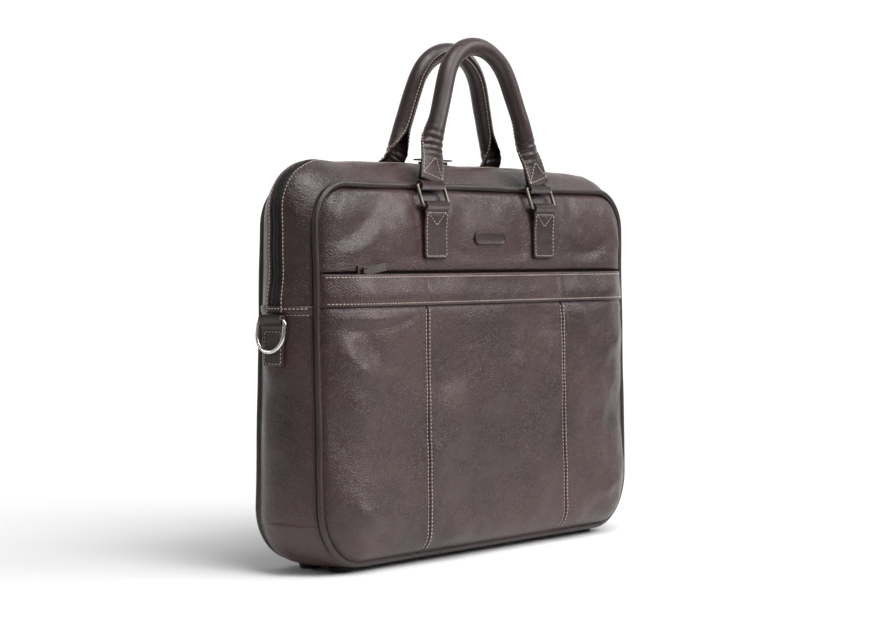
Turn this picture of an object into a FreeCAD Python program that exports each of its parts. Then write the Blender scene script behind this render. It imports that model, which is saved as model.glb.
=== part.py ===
import FreeCAD, Part
import math
import os
import Sketcher

# A slim leather briefcase standing on its feet: x across the front, -y out of the front, z up, mm.
doc = FreeCAD.newDocument("Briefcase")
sheet = doc.addObject("Spreadsheet::Sheet", "sizes")
row_count = 0


def size(alias, number):
    """One driving dimension: a numbered row of the sheet, with a name."""
    global row_count
    row_count += 1
    sheet.set("A%d" % row_count, alias)
    sheet.set("B%d" % row_count, str(number))
    sheet.setAlias("B%d" % row_count, alias)


# the two walls, measured at the centre of their piping
size("half_width", 199.0)
size("wall_top", 302.7)
size("wall_bottom", 6.2)
size("wall_top_radius", 33.0)
size("wall_bottom_radius", 45.0)
size("wall_y", 27.0)
size("wall_tilt", 1.25)
size("piping_radius", 2.5)
size("leather", 1.8)
size("thin_leather", 1.4)
size("gap", 0.3)

# how far a wall bows out, and over what distance in from its edge
size("panel_bow", 10.5)
size("panel_run", 55.0)
size("panel_start", 0.075)
size("pocket_bow", 17.5)
size("pocket_run", 80.0)
size("pocket_start", 0.044)
size("pocket_wall_gap", 1.7)
size("foam_gap", 2.8)
size("foam_thick", 4.0)
size("lining_thick", 0.8)

# the gusset, which is domed over the top and round the sides
size("gusset_inset", 2.8)
size("gusset_side_margin", 1.5)
size("gusset_edge_margin", 2.0)
size("gusset_corner_margin", 1.0)
size("gusset_dome", 17.0)
size("gusset_bulge", 13.0)
size("gusset_top_radius_growth", 11.0)
size("gusset_bottom_radius_growth", 2.0)
size("gusset_lining_gap", 2.4)
size("zip_end_drop", 100.8)
size("zip_leather_gap", 5.0)
size("tape_half_width", 12.0)
size("tape_gap", 0.15)
size("tape_thick", 0.6)
size("coil_half_width", 2.6)
size("coil_split", 0.15)
size("coil_proud", 0.3)
size("coil_gap", 0.25)

# the front of the pocket
size("band_drop", 72.0)
size("band_height", 24.0)
size("seam_x", 89.0)
size("pocket_mouth", 8.3)
size("pocket_zip_rise", 3.5)
size("pocket_zip_gap", 0.7)
size("pocket_zip_margin", 34.0)
size("pocket_tape_half_height", 10.0)
size("pocket_tape_thick", 0.45)
size("pocket_slider_margin", 7.0)
size("badge_half_width", 20.0)
size("badge_half_height", 5.2)
size("badge_drop", 42.5)
size("badge_thick", 0.7)

# rings, the tabs that hold them, and the handles
size("ring_x", 71.0)
size("ring_half_width", 16.2)
size("ring_rise", 16.5)
size("ring_lean", 6.0)
size("ring_wire", 1.5)
size("ring_corner", 2.4)
size("tab_half_width", 14.0)
size("tab_length", 42.5)
size("loop_bore", 1.8)
size("tongue_loop_radius", 4.0)
size("tongue_half_width", 13.8)
size("tongue_mid_half_width", 11.5)
size("tongue_top_half_width", 6.2)
size("tongue_loop_thick", 3.6)
size("tongue_thick", 2.2)
size("tongue_bend_thick", 2.6)
size("tongue_top_thick", 4.4)
size("tongue_foot", 3.2)
size("tongue_flat", 14.0)
size("tongue_flat_x", 67.5)
size("tongue_bend", 31.0)
size("tongue_bend_x", 63.5)
size("tongue_top_x", 57.0)
size("tongue_top", 50.0)
size("tube_start", 42.0)
size("tube_radius", 7.4)
size("tube_bore", 5.6)
size("core_radius", 5.3)
size("arch_radius", 44.0)
size("leg_foot_x", 60.0)
size("front_lean", 5.5)
size("back_lean", 45.0)
size("back_tube_lean", 5.0)
size("front_apex_rise", 116.7)
size("back_apex_rise", 113.6)
size("core_rise", 20.0)

# D-rings on the side gussets
size("d_bar_out", 3.5)
size("d_bar_drop", 4.7)
size("d_half_width", 14.0)
size("d_height", 24.5)
size("d_corner", 3.5)
size("d_round", 13.8)
size("d_wire", 1.5)
size("d_lean", 8.0)
size("d_tab_half_width", 11.5)
size("d_tab_length", 35.5)

# zip sliders and pulls, about the line where the tape's face is zero
size("slider_half_length", 5.5)
size("slider_half_width", 4.4)
size("slider_flange", 1.3)
size("slider_flange_bottom", 0.45)
size("slider_plate_bottom", 2.55)
size("slider_plate_thick", 1.2)
size("bridge_half_length", 1.9)
size("bridge_half_width", 1.5)
size("bridge_height", 3.1)
size("bridge_bore", 1.0)
size("pull_axis", 5.15)
size("pull_bar_radius", 0.7)
size("pull_half_width", 3.2)
size("pull_arm", 1.1)
size("pull_window", 3.0)
size("pull_thick", 1.2)
size("main_pull_length", 13.0)
size("pocket_pull_length", 25.0)
size("pocket_pull_tilt", 8.0)
size("slider_centre_x", -27.0)
size("slider_spacing", 16.0)

# base
size("board_side_margin", 49.0)
size("board_half_width", 26.0)
size("board_thick", 1.8)
size("foot_side_margin", 41.0)
size("foot_y", 16.0)
size("foot_radius", 9.5)
size("foot_base_radius", 8.0)
size("foot_height", 4.1)
doc.recompute()

BOW_SHARES = (0.16, 0.4, 0.65, 1.0)
BOW_POWER = 4
DOME_STEPS = 3
FAR = 600.0
CLOSE = 0.1
parts = []
ties = {}


def tie(alias, first, *others):
    """A size that follows from others: the first, plus or minus each of the rest, by the sign before it."""
    ties[alias] = (first, others)


def val(alias):
    """The number that a named size holds."""
    if alias not in ties:
        return float(sheet.get(alias))
    first, others = ties[alias]
    return val(first) + sum(float(term[0] + "1") * val(term[1:]) for term in others)


def cell(alias):
    """A named size, as an expression."""
    if alias not in ties:
        return "sizes." + alias
    first, others = ties[alias]
    rest = "".join(" %s %s" % (term[0], cell(term[1:])) for term in others)
    return "(%s%s)" % (cell(first), rest)


# layers inside the leather
tie("pocket_wall_depth", "leather", "+pocket_wall_gap")
tie("foam_depth", "leather", "+foam_gap")
tie("lining_depth", "foam_depth", "+foam_thick", "+gap")
tie("gusset_lining_depth", "leather", "+gusset_lining_gap")
tie("tape_depth", "leather", "+tape_gap")
tie("coil_bottom", "tape_depth", "-coil_gap")
tie("pocket_zip_depth", "leather", "+pocket_zip_gap")

# the gusset follows the edge of the walls
tie("gusset_y", "wall_y", "-gusset_inset")
tie("gusset_half_width", "half_width", "+gusset_side_margin")
tie("gusset_top", "wall_top", "+gusset_edge_margin")
tie("gusset_bottom", "wall_bottom", "-gusset_edge_margin")
tie("gusset_top_radius", "wall_top_radius", "+gusset_corner_margin")
tie("gusset_bottom_radius", "wall_bottom_radius", "+gusset_corner_margin")
tie("board_half_length", "half_width", "-board_side_margin")
tie("board_bottom", "gusset_bottom", "+leather", "+gap")
tie("foot_x", "half_width", "-foot_side_margin")

# what hangs from the top edge
tie("zip_end", "wall_top", "-zip_end_drop")
tie("band_top", "wall_top", "-band_drop")
tie("band_bottom", "band_top", "-band_height")
tie("upper_panel_bottom", "band_top", "+pocket_mouth")
tie("pocket_zip_centre", "band_top", "+pocket_zip_rise")
tie("pocket_zip_half_length", "half_width", "-pocket_zip_margin")
tie("pocket_slider_start", "pocket_zip_half_length", "-pocket_slider_margin")
tie("badge_centre", "wall_top", "-badge_drop")
tie("ring_bar_z", "wall_top", "-ring_rise")
tie("tab_bottom", "ring_bar_z", "-tab_length")
tie("front_apex", "wall_top", "+front_apex_rise")
tie("back_apex", "wall_top", "+back_apex_rise")
tie("d_bar_z", "zip_end", "-d_bar_drop")
tie("d_tab_bottom", "d_bar_z", "-d_tab_length")
tie("d_bar_x", "gusset_half_width", "+gusset_bulge", "+d_bar_out")


def finish_part(shape_object, label):
    """Takes an object as a finished sub-part of that name."""
    shape_object.Label = label
    parts.append(shape_object)
    return shape_object


def fill_outline(sketch, half_width, top, bottom, top_radius, bottom_radius):
    """Draws an upright rounded rectangle in a sketch, its sizes given as expressions."""
    vec = FreeCAD.Vector
    wide, high, low = 10.0, 10.0, -10.0
    corner = 2.0
    up = vec(0, 0, 1)

    def turn(x, z, start):
        return Part.ArcOfCircle(Part.Circle(vec(x, z, 0), up, corner), start, start + math.pi / 2)

    sketch.addGeometry(
        [
            Part.LineSegment(vec(-wide + corner, low, 0), vec(wide - corner, low, 0)),
            turn(wide - corner, low + corner, -math.pi / 2),
            Part.LineSegment(vec(wide, low + corner, 0), vec(wide, high - corner, 0)),
            turn(wide - corner, high - corner, 0.0),
            Part.LineSegment(vec(wide - corner, high, 0), vec(-wide + corner, high, 0)),
            turn(-wide + corner, high - corner, math.pi / 2),
            Part.LineSegment(vec(-wide, high - corner, 0), vec(-wide, low + corner, 0)),
            turn(-wide + corner, low + corner, math.pi),
        ]
    )
    con = Sketcher.Constraint
    joins = [con("Tangent", edge, 2, (edge + 1) % 8, 1) for edge in range(8)]
    sketch.addConstraint(joins)
    sketch.addConstraint(
        [
            con("Horizontal", 0),
            con("Horizontal", 4),
            con("Vertical", 2),
            con("Vertical", 6),
        ]
    )
    driven = (
        ("right_side", con("DistanceX", -1, 1, 2, 1, wide), half_width),
        ("left_side", con("DistanceX", 6, 1, -1, 1, wide), half_width),
        ("top_side", con("DistanceY", -1, 1, 4, 1, high), top),
        ("bottom_side", con("DistanceY", -1, 1, 0, 1, low), bottom),
        ("right_top", con("Radius", 3, corner), top_radius),
        ("left_top", con("Radius", 5, corner), top_radius),
        ("right_bottom", con("Radius", 1, corner), bottom_radius),
        ("left_bottom", con("Radius", 7, corner), bottom_radius),
    )
    for title, constraint, expression in driven:
        index = sketch.addConstraint(constraint)
        sketch.renameConstraint(index, title)
    for title, constraint, expression in driven:
        sketch.setExpression("Constraints." + title, expression)


def outline(name, half_width, top, bottom, top_radius, bottom_radius, placement):
    """A placed sketch of an upright rounded rectangle, its sizes given as expressions."""
    sketch = doc.addObject("Sketcher::SketchObject", name)
    fill_outline(sketch, half_width, top, bottom, top_radius, bottom_radius)
    sketch.Placement = placement
    return sketch


def wall_placement(y_top, tilt):
    """An upright sketch plane that crosses the wall top at y_top and leans out at the foot by tilt."""
    y_floor = y_top - val("wall_top") * math.tan(math.radians(tilt))
    turn = FreeCAD.Rotation(FreeCAD.Vector(1, 0, 0), 90.0 - tilt)
    return FreeCAD.Placement(FreeCAD.Vector(0, y_floor, 0), turn)


def loft(name, sections):
    """A ruled solid through closed sections."""
    made = doc.addObject("Part::Loft", name)
    made.Sections = sections
    made.Solid = True
    made.Ruled = True
    return made


def cut(name, base, tool):
    """base with tool taken out of it."""
    made = doc.addObject("Part::Cut", name)
    made.Base = base
    made.Tool = tool
    return made


def fuse(name, shapes):
    """Several shapes as one."""
    made = doc.addObject("Part::MultiFuse", name)
    made.Shapes = shapes
    return made


def mirror(name, source, normal):
    """source seen in the middle plane with that normal."""
    made = doc.addObject("Part::Mirroring", name)
    made.Source = source
    made.Normal = normal
    return made


def cuboid(name, low, high):
    """A box between two corners, each given as three expressions or numbers."""
    made = doc.addObject("Part::Box", name)
    for prop, axis, start, end in zip(("Length", "Width", "Height"), "xyz", low, high):
        made.setExpression(prop, "(%s) - (%s)" % (end, start))
        made.setExpression("Placement.Base." + axis, "%s" % start)
    return made


def trimmed(name, source, low, high):
    """The share of source that lies between two corners."""
    made = doc.addObject("Part::Common", name)
    made.Base = source
    made.Tool = cuboid(name + "_limits", low, high)
    return made


def wall_surface(name, bow, run, start, depth):
    """A solid that bows out in front of the wall plane, its skin depth behind the bow's own."""
    sections = []
    for step, share in enumerate((val(start),) + BOW_SHARES):
        out = val(bow) * (1 - (1 - share) ** BOW_POWER) - depth
        inset = "%s * %s" % (cell(run), share)
        rounding = "(1 - %s / 2)" % share
        sections.append(
            outline(
                "%s_level_%d" % (name, step),
                "%s - %s" % (cell("half_width"), inset),
                "%s - %s" % (cell("wall_top"), inset),
                "%s + %s" % (cell("wall_bottom"), inset),
                "%s * %s" % (cell("wall_top_radius"), rounding),
                "%s * %s" % (cell("wall_bottom_radius"), rounding),
                wall_placement(-val("wall_y") - out, val("wall_tilt")),
            )
        )
    return loft(name, sections)


def wall_layer(name, bow, run, start, depth, thickness):
    """One layer of a wall: a shallow dish of even thickness."""
    skin = wall_surface(name + "_skin", bow, run, start, depth)
    back = wall_surface(name + "_back", bow, run, start, depth + thickness)
    return cut(name, skin, back)


def gusset_surface(name, depth):
    """The domed solid inside the gusset's outer face, depth below that face."""
    sections = []
    for step in range(-DOME_STEPS, DOME_STEPS + 1):
        share = step / DOME_STEPS
        y_here = val("gusset_y") * share
        rise = 1 - share * share
        tilt = -val("wall_tilt") * y_here / val("wall_y")
        sections.append(
            outline(
                "%s_level_%d" % (name, step + DOME_STEPS),
                "%s + %s * %s - %s" % (cell("gusset_half_width"), cell("gusset_bulge"), rise, depth),
                "%s + %s * %s - %s" % (cell("gusset_top"), cell("gusset_dome"), rise, depth),
                "%s + %s" % (cell("gusset_bottom"), depth),
                "%s + %s * %s - %s"
                % (cell("gusset_top_radius"), cell("gusset_top_radius_growth"), rise, depth),
                "%s + %s * %s - %s"
                % (cell("gusset_bottom_radius"), cell("gusset_bottom_radius_growth"), rise, depth),
                wall_placement(y_here, tilt),
            )
        )
    return loft(name, sections)


def gusset_layer(name, depth, thickness):
    """A hoop of even thickness that lies depth below the gusset's outer face."""
    outer = gusset_surface(name + "_outer", depth)
    inner = gusset_surface(name + "_inner", depth + thickness)
    return cut(name, outer, inner)


def make_front_wall_leather():
    """The leather over the front: the panel above the pocket, the pocket's three panels and its band."""
    upper = wall_layer(
        "upper_dish", "panel_bow", "panel_run", "panel_start", 0.0, val("leather")
    )
    finish_part(
        trimmed(
            "front_upper", upper, (-FAR, -FAR, cell("upper_panel_bottom")), (FAR, FAR, FAR)
        ),
        "front_panel_upper",
    )
    pocket = wall_layer(
        "pocket_dish", "pocket_bow", "pocket_run", "pocket_start", 0.0, val("leather")
    )
    under_band = "%s - %s" % (cell("band_bottom"), cell("gap"))
    near = "%s - %s / 2" % (cell("seam_x"), cell("gap"))
    beyond = "%s + %s / 2" % (cell("seam_x"), cell("gap"))
    spans = (
        ("left", -FAR, "-(%s)" % beyond),
        ("centre", "-(%s)" % near, near),
        ("right", beyond, FAR),
    )
    for side, start, end in spans:
        panel = trimmed("pocket_" + side, pocket, (start, -FAR, -FAR), (end, FAR, under_band))
        finish_part(panel, "pocket_panel_" + side)
    band = trimmed(
        "band", pocket, (-FAR, -FAR, cell("band_bottom")), (FAR, FAR, cell("band_top"))
    )
    finish_part(band, "pocket_band")
    return upper


def make_pocket_inside():
    """The pocket's back wall and its closed zip, which runs along the top behind the band."""
    back = wall_layer(
        "pocket_back",
        "panel_bow",
        "panel_run",
        "panel_start",
        val("pocket_wall_depth"),
        1.0,
    )
    low = "%s - %s" % (cell("upper_panel_bottom"), cell("gusset_lining_depth"))
    finish_part(
        trimmed("pocket_back_cut", back, (-FAR, -FAR, -FAR), (FAR, FAR, low)),
        "pocket_back_wall",
    )
    front = wall_y_at(val("pocket_zip_centre")) - val("panel_bow") + val("pocket_zip_depth")
    centre = cell("pocket_zip_centre")
    reach = cell("pocket_tape_half_height")
    half = cell("pocket_zip_half_length")
    tape = cuboid(
        "pocket_tape",
        ("-" + half, front, "%s - %s" % (centre, reach)),
        (half, front + val("pocket_tape_thick"), "%s + %s" % (centre, reach)),
    )
    finish_part(tape, "pocket_zip_tape")
    coil = cell("coil_half_width")
    teeth = cuboid(
        "pocket_coil",
        ("-" + half, front - val("coil_bottom") - val("coil_proud"), "%s - %s" % (centre, coil)),
        (half, front - CLOSE, "%s + %s" % (centre, coil)),
    )
    finish_part(teeth, "pocket_zip_teeth")
    return front


def wall_y_at(height):
    """Where the front wall's plane stands at a height."""
    drop = val("wall_top") - height
    return -val("wall_y") - drop * math.tan(math.radians(val("wall_tilt")))


def make_wall_padding(upper_dish):
    """The back panel, and the foam and lining inside both walls."""
    across = FreeCAD.Vector(0, 1, 0)
    finish_part(mirror("back_leather", upper_dish, across), "back_panel")
    foam = wall_layer(
        "foam_dish",
        "panel_bow",
        "panel_run",
        "panel_start",
        val("foam_depth"),
        val("foam_thick"),
    )
    finish_part(foam, "front_foam")
    finish_part(mirror("back_foam_dish", foam, across), "back_foam")
    lining = wall_layer(
        "lining_dish",
        "panel_bow",
        "panel_run",
        "panel_start",
        val("lining_depth"),
        val("lining_thick"),
    )
    finish_part(lining, "front_lining")
    finish_part(mirror("back_lining_dish", lining, across), "back_lining")


def make_gusset():
    """The gusset round the bag: one piece under and up the sides, and a strip each side of the zip."""
    hoop = gusset_layer("gusset_hoop", 0.0, val("leather"))
    end = cell("zip_end")
    below = "%s - %s / 2" % (end, cell("gap"))
    above = "%s + %s / 2" % (end, cell("gap"))
    finish_part(
        trimmed("gusset_low", hoop, (-FAR, -FAR, -FAR), (FAR, FAR, below)), "lower_gusset"
    )
    edge = cell("zip_leather_gap")
    front = trimmed("gusset_front", hoop, (-FAR, -FAR, above), (FAR, "-" + edge, FAR))
    finish_part(front, "upper_gusset_front")
    back = trimmed("gusset_back", hoop, (-FAR, edge, above), (FAR, FAR, FAR))
    finish_part(back, "upper_gusset_back")
    lining = gusset_layer("gusset_inside", val("gusset_lining_depth"), val("lining_thick"))
    finish_part(
        trimmed("gusset_lining_cut", lining, (-FAR, -FAR, -FAR), (FAR, FAR, below)),
        "gusset_lining",
    )


def make_main_zip():
    """The two halves of the main zip: a tape under each leather edge and a row of coil beside the middle."""
    tape = gusset_layer("zip_tape", val("tape_depth"), val("tape_thick"))
    coil = gusset_layer("zip_coil", -val("coil_proud"), val("coil_bottom") + val("coil_proud"))
    start = "%s + %s" % (cell("zip_end"), cell("gap"))
    split = cell("coil_split")
    rows = (("tape", tape, cell("tape_half_width")), ("teeth", coil, cell("coil_half_width")))
    for kind, source, reach in rows:
        for side, low, high in (("front", "-" + reach, "-" + split), ("back", split, reach)):
            name = "zip_%s_%s" % (kind, side)
            piece = trimmed(name + "_cut", source, (-FAR, low, start), (FAR, high, FAR))
            finish_part(piece, name)


def swept(name, path, radius, edge_count):
    """A round bar along a path sketch."""
    path.recompute()
    start = path.Shape.Wires[0].OrderedEdges[0]
    first = start.FirstParameter
    profile = doc.addObject("Part::Circle", name + "_round")
    profile.setExpression("Radius", radius)
    turn = FreeCAD.Rotation(FreeCAD.Vector(0, 0, 1), start.tangentAt(first))
    profile.Placement = FreeCAD.Placement(start.valueAt(first), turn)
    made = doc.addObject("Part::Sweep", name)
    made.Sections = [profile]
    made.Spine = (path, ["Edge%d" % (edge + 1) for edge in range(edge_count)])
    made.Solid = True
    made.Frenet = False
    return made


def make_piping():
    """The round welt sewn all round each wall."""
    edge = outline(
        "piping_line",
        "%s - 1" % cell("half_width"),
        "%s - 1" % cell("wall_top"),
        "%s + 1" % cell("wall_bottom"),
        cell("wall_top_radius"),
        cell("wall_bottom_radius"),
        wall_placement(-val("wall_y"), val("wall_tilt")),
    )
    front = swept("piping_bar", edge, cell("piping_radius"), 8)
    finish_part(front, "front_piping")
    back = mirror("piping_behind", front, FreeCAD.Vector(0, 1, 0))
    finish_part(back, "back_piping")


def bar_along(name, radius, low, high, direction, base):
    """A round bar from low to high along x or y, its line through base."""
    made = doc.addObject("Part::Cylinder", name)
    made.setExpression("Radius", radius)
    made.setExpression("Height", "(%s) - (%s)" % (high, low))
    for axis, start in zip("xyz", base):
        made.setExpression("Placement.Base." + axis, "%s" % start)
    if direction == "x":
        made.Placement.Rotation = FreeCAD.Rotation(FreeCAD.Vector(0, 1, 0), 90)
    else:
        made.Placement.Rotation = FreeCAD.Rotation(FreeCAD.Vector(1, 0, 0), -90)
    return made


def make_badge_and_board():
    """The blank badge on the upper panel, and the stiff board in the base."""
    badge = doc.addObject("PartDesign::Body", "badge_body")
    face = flat_sketch(badge, "badge_outline", "XZ_Plane")
    rounded(face, cell("badge_half_width"), cell("badge_half_height"), 0.98)
    pad = badge.newObject("PartDesign::Pad", "badge_pad")
    pad.Profile = face
    pad.setExpression("Length", cell("badge_thick"))
    back = wall_y_at(val("badge_centre")) - val("panel_bow") - val("gap")
    badge.Placement.Base = FreeCAD.Vector(0, back, val("badge_centre"))
    finish_part(badge, "badge")

    board = doc.addObject("PartDesign::Body", "board_body")
    face = flat_sketch(board, "board_outline", "XY_Plane")
    rounded(face, cell("board_half_length"), cell("board_half_width"), 0.3)
    pad = board.newObject("PartDesign::Pad", "board_pad")
    pad.Profile = face
    pad.setExpression("Length", cell("board_thick"))
    board.setExpression("Placement.Base.z", cell("board_bottom"))
    finish_part(board, "base_board")


def flat_sketch(body, name, plane):
    """A sketch on one of a body's own planes."""
    face = body.newObject("Sketcher::SketchObject", name)
    support = [f for f in body.Origin.OriginFeatures if f.Role == plane][0]
    face.AttachmentSupport = (support, [""])
    face.MapMode = "FlatFace"
    return face


def rounded(sketch, half_length, half_height, share):
    """Fills a sketch with a centred rounded rectangle, its corners that share of its half height."""
    fill_outline(
        sketch,
        half_length,
        half_height,
        "-(%s)" % half_height,
        "%s * %s" % (half_height, share),
        "%s * %s" % (half_height, share),
    )


def tab_y():
    """How far out from the middle the handle tabs' backs lie."""
    return val("panel_bow") + val("gap") - wall_y_at(val("tab_bottom"))


def ring_bar_y():
    """How far out the lower bars of the handle rings lie."""
    return tab_y() + val("thin_leather")


def make_ring_and_tab():
    """A rectangular wire ring at each handle end, and the folded tab that holds it to the wall."""
    lean = math.degrees(math.atan2(val("ring_lean"), val("ring_rise")))
    half_rise = math.hypot(val("ring_lean"), val("ring_rise")) / 2
    middle = FreeCAD.Vector(
        -val("ring_x"),
        -ring_bar_y() + val("ring_lean") / 2,
        val("ring_bar_z") + val("ring_rise") / 2,
    )
    line = outline(
        "ring_line",
        cell("ring_half_width"),
        str(half_rise),
        str(-half_rise),
        cell("ring_corner"),
        cell("ring_corner"),
        FreeCAD.Placement(middle, FreeCAD.Rotation(FreeCAD.Vector(1, 0, 0), 90 - lean)),
    )
    ring = swept("ring_bar", line, cell("ring_wire"), 8)

    half = cell("tab_half_width")
    centre_y = str(-ring_bar_y())
    centre_z = cell("ring_bar_z")
    strap = cuboid(
        "tab_strap",
        (
            "-%s - %s" % (cell("ring_x"), half),
            "%s - 2 * %s" % (-tab_y(), cell("thin_leather")),
            cell("tab_bottom"),
        ),
        ("-%s + %s" % (cell("ring_x"), half), str(-tab_y()), centre_z),
    )
    base = ("-%s - %s" % (cell("ring_x"), half), centre_y, centre_z)
    around = "%s + %s" % (cell("loop_bore"), cell("thin_leather"))
    loop = bar_along("tab_loop", around, "-" + half, half, "x", base)
    bore = bar_along("tab_bore", cell("loop_bore"), "-" + half, half, "x", base)
    tab = cut("tab", fuse("tab_solid", [strap, loop]), bore)

    across = FreeCAD.Vector(0, 1, 0)
    along = FreeCAD.Vector(1, 0, 0)
    for shape, kind in ((ring, "ring"), (tab, "tab")):
        right = mirror(kind + "_right", shape, along)
        finish_part(shape, "front_%s_left" % kind)
        finish_part(right, "front_%s_right" % kind)
        finish_part(mirror(kind + "_back_left", shape, across), "back_%s_left" % kind)
        finish_part(mirror(kind + "_back_right", right, across), "back_%s_right" % kind)


def leaning(sign, degrees, reach, start):
    """The point reached from start by going up a line that leans inward."""
    lean = math.radians(degrees)
    step = FreeCAD.Vector(0, -sign * math.sin(lean), math.cos(lean))
    return start + step * reach


def handle_path(name, sign, bend, lean, apex):
    """The centre line of a handle's tube: two legs and the arch that joins them."""
    sketch = doc.addObject("Sketcher::SketchObject", name)
    vec = FreeCAD.Vector
    foot = val("tube_start") - val("tongue_bend")
    radius = val("arch_radius")
    centre = (apex - bend.z) / math.cos(math.radians(lean)) - radius
    arch = Part.ArcOfCircle(Part.Circle(vec(0, centre, 0), vec(0, 0, 1), radius), 0.0, math.pi)
    sketch.addGeometry(
        [
            Part.LineSegment(vec(val("leg_foot_x"), foot, 0), vec(radius, centre, 0)),
            arch,
            Part.LineSegment(vec(-radius, centre, 0), vec(-val("leg_foot_x"), foot, 0)),
        ]
    )
    con = Sketcher.Constraint
    sketch.addConstraint(
        [
            con("Tangent", 0, 2, 1, 1),
            con("Tangent", 1, 2, 2, 1),
            con("DistanceX", -1, 1, 1, 3, 0.0),
            con("DistanceY", -1, 1, 1, 3, centre),
            con("Radius", 1, radius),
            con("DistanceX", -1, 1, 0, 1, val("leg_foot_x")),
            con("DistanceY", -1, 1, 0, 1, foot),
            con("DistanceX", 2, 2, -1, 1, val("leg_foot_x")),
            con("DistanceY", -1, 1, 2, 2, foot),
        ]
    )
    turn = FreeCAD.Rotation(vec(1, 0, 0), 90 + sign * lean)
    sketch.Placement = FreeCAD.Placement(bend, turn)
    return sketch


def tongue(name, sign, side, bar, bend, lean, tube_lean):
    """The flat tongue of one handle leg, from the ring's bar up into the tube."""
    top = leaning(sign, tube_lean, val("tongue_top") - val("tongue_bend"), bend)
    foot = leaning(sign, lean, val("tongue_foot"), bar)
    flat = leaning(sign, lean, val("tongue_flat"), bar)
    between = (lean + tube_lean) / 2
    stations = (
        (foot, lean, "ring_x", "tongue_half_width", "tongue_loop_thick"),
        (flat, lean, "tongue_flat_x", "tongue_half_width", "tongue_thick"),
        (bend, between, "tongue_bend_x", "tongue_mid_half_width", "tongue_bend_thick"),
        (top, tube_lean, "tongue_top_x", "tongue_top_half_width", "tongue_top_thick"),
    )
    sections = []
    for step, (centre, angle, x_alias, width, thick) in enumerate(stations):
        place = FreeCAD.Placement(
            FreeCAD.Vector(side * val(x_alias), centre.y, centre.z),
            FreeCAD.Rotation(FreeCAD.Vector(1, 0, 0), sign * angle),
        )
        sections.append(
            outline(
                "%s_%d" % (name, step),
                cell(width),
                cell(thick),
                "-" + cell(thick),
                "%s / 3" % cell(thick),
                "%s / 3" % cell(thick),
                place,
            )
        )
    return loft(name, sections)


def make_handle(end, sign, lean, tube_lean, apex):
    """A handle: the leather sleeve with its two tongues, and the core that fills the tube."""
    bar_y = ring_bar_y() - val("ring_lean")
    bar = FreeCAD.Vector(0, sign * bar_y, val("ring_bar_z") + val("ring_rise"))
    bend = leaning(sign, lean, val("tongue_bend"), bar)
    path = handle_path(end + "_handle_line", sign, bend, tube_lean, apex)
    solids = [swept(end + "_tube", path, cell("tube_radius"), 3)]
    bores = []
    half = cell("tongue_half_width")
    for side, word in ((-1, "left"), (1, "right")):
        name = "%s_tongue_%s" % (end, word)
        solids.append(tongue(name, sign, side, bar, bend, lean, tube_lean))
        base = ("%d * %s - %s" % (side, cell("ring_x"), half), str(bar.y), str(bar.z))
        around = cell("tongue_loop_radius")
        solids.append(bar_along(name + "_loop", around, "-" + half, half, "x", base))
        bores.append(bar_along(name + "_bore", cell("loop_bore"), "-" + half, half, "x", base))
    floor = str(bend.z + val("core_rise"))
    hollow = swept(end + "_hollow", path, cell("tube_bore"), 3)
    bores.append(trimmed(end + "_hollow_cut", hollow, (-FAR, -FAR, floor), (FAR, FAR, FAR)))
    sleeve = cut(end + "_sleeve", fuse(end + "_solid", solids), fuse(end + "_bores", bores))
    finish_part(sleeve, end + "_handle_sleeve")
    rope = swept(end + "_rope", path, cell("core_radius"), 3)
    above = str(bend.z + val("core_rise") + val("gap"))
    core = trimmed(end + "_rope_cut", rope, (-FAR, -FAR, above), (FAR, FAR, FAR))
    finish_part(core, end + "_handle_core")


def make_d_rings():
    """A D-ring on each side gusset and the folded tab that holds it."""
    lean = math.radians(val("d_lean"))
    up = FreeCAD.Vector(math.sin(lean), 0, math.cos(lean))
    half_height = val("d_height") / 2
    bar = FreeCAD.Vector(-val("d_bar_x"), 0, val("d_bar_z"))
    turn = FreeCAD.Rotation(FreeCAD.Vector(0, 1, 0), up, FreeCAD.Vector(1, 0, 0), "XYZ")
    line = outline(
        "d_line",
        cell("d_half_width"),
        str(half_height),
        str(-half_height),
        cell("d_corner"),
        "%s / 2 + %s" % (cell("d_round"), str(val("d_round") / 2)),
        FreeCAD.Placement(bar - up * half_height, turn),
    )
    ring = swept("d_bar", line, cell("d_wire"), 8)
    finish_part(ring, "d_ring_left")
    along = FreeCAD.Vector(1, 0, 0)
    finish_part(mirror("d_ring_mirror", ring, along), "d_ring_right")

    half = cell("d_tab_half_width")
    inner = "-%s + %s + %s" % (cell("d_bar_x"), cell("loop_bore"), cell("thin_leather"))
    strap = cuboid(
        "d_strap",
        ("%s - 2 * %s" % (inner, cell("thin_leather")), "-" + half, cell("d_tab_bottom")),
        (inner, half, cell("d_bar_z")),
    )
    base = ("-" + cell("d_bar_x"), "-" + half, cell("d_bar_z"))
    around = "%s + %s" % (cell("loop_bore"), cell("thin_leather"))
    loop = bar_along("d_loop", around, "-" + half, half, "y", base)
    bore = bar_along("d_bore", cell("loop_bore"), "-" + half, half, "y", base)
    tab = cut("d_tab", fuse("d_tab_solid", [strap, loop]), bore)
    finish_part(tab, "d_tab_left")
    finish_part(mirror("d_tab_mirror", tab, along), "d_tab_right")


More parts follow.
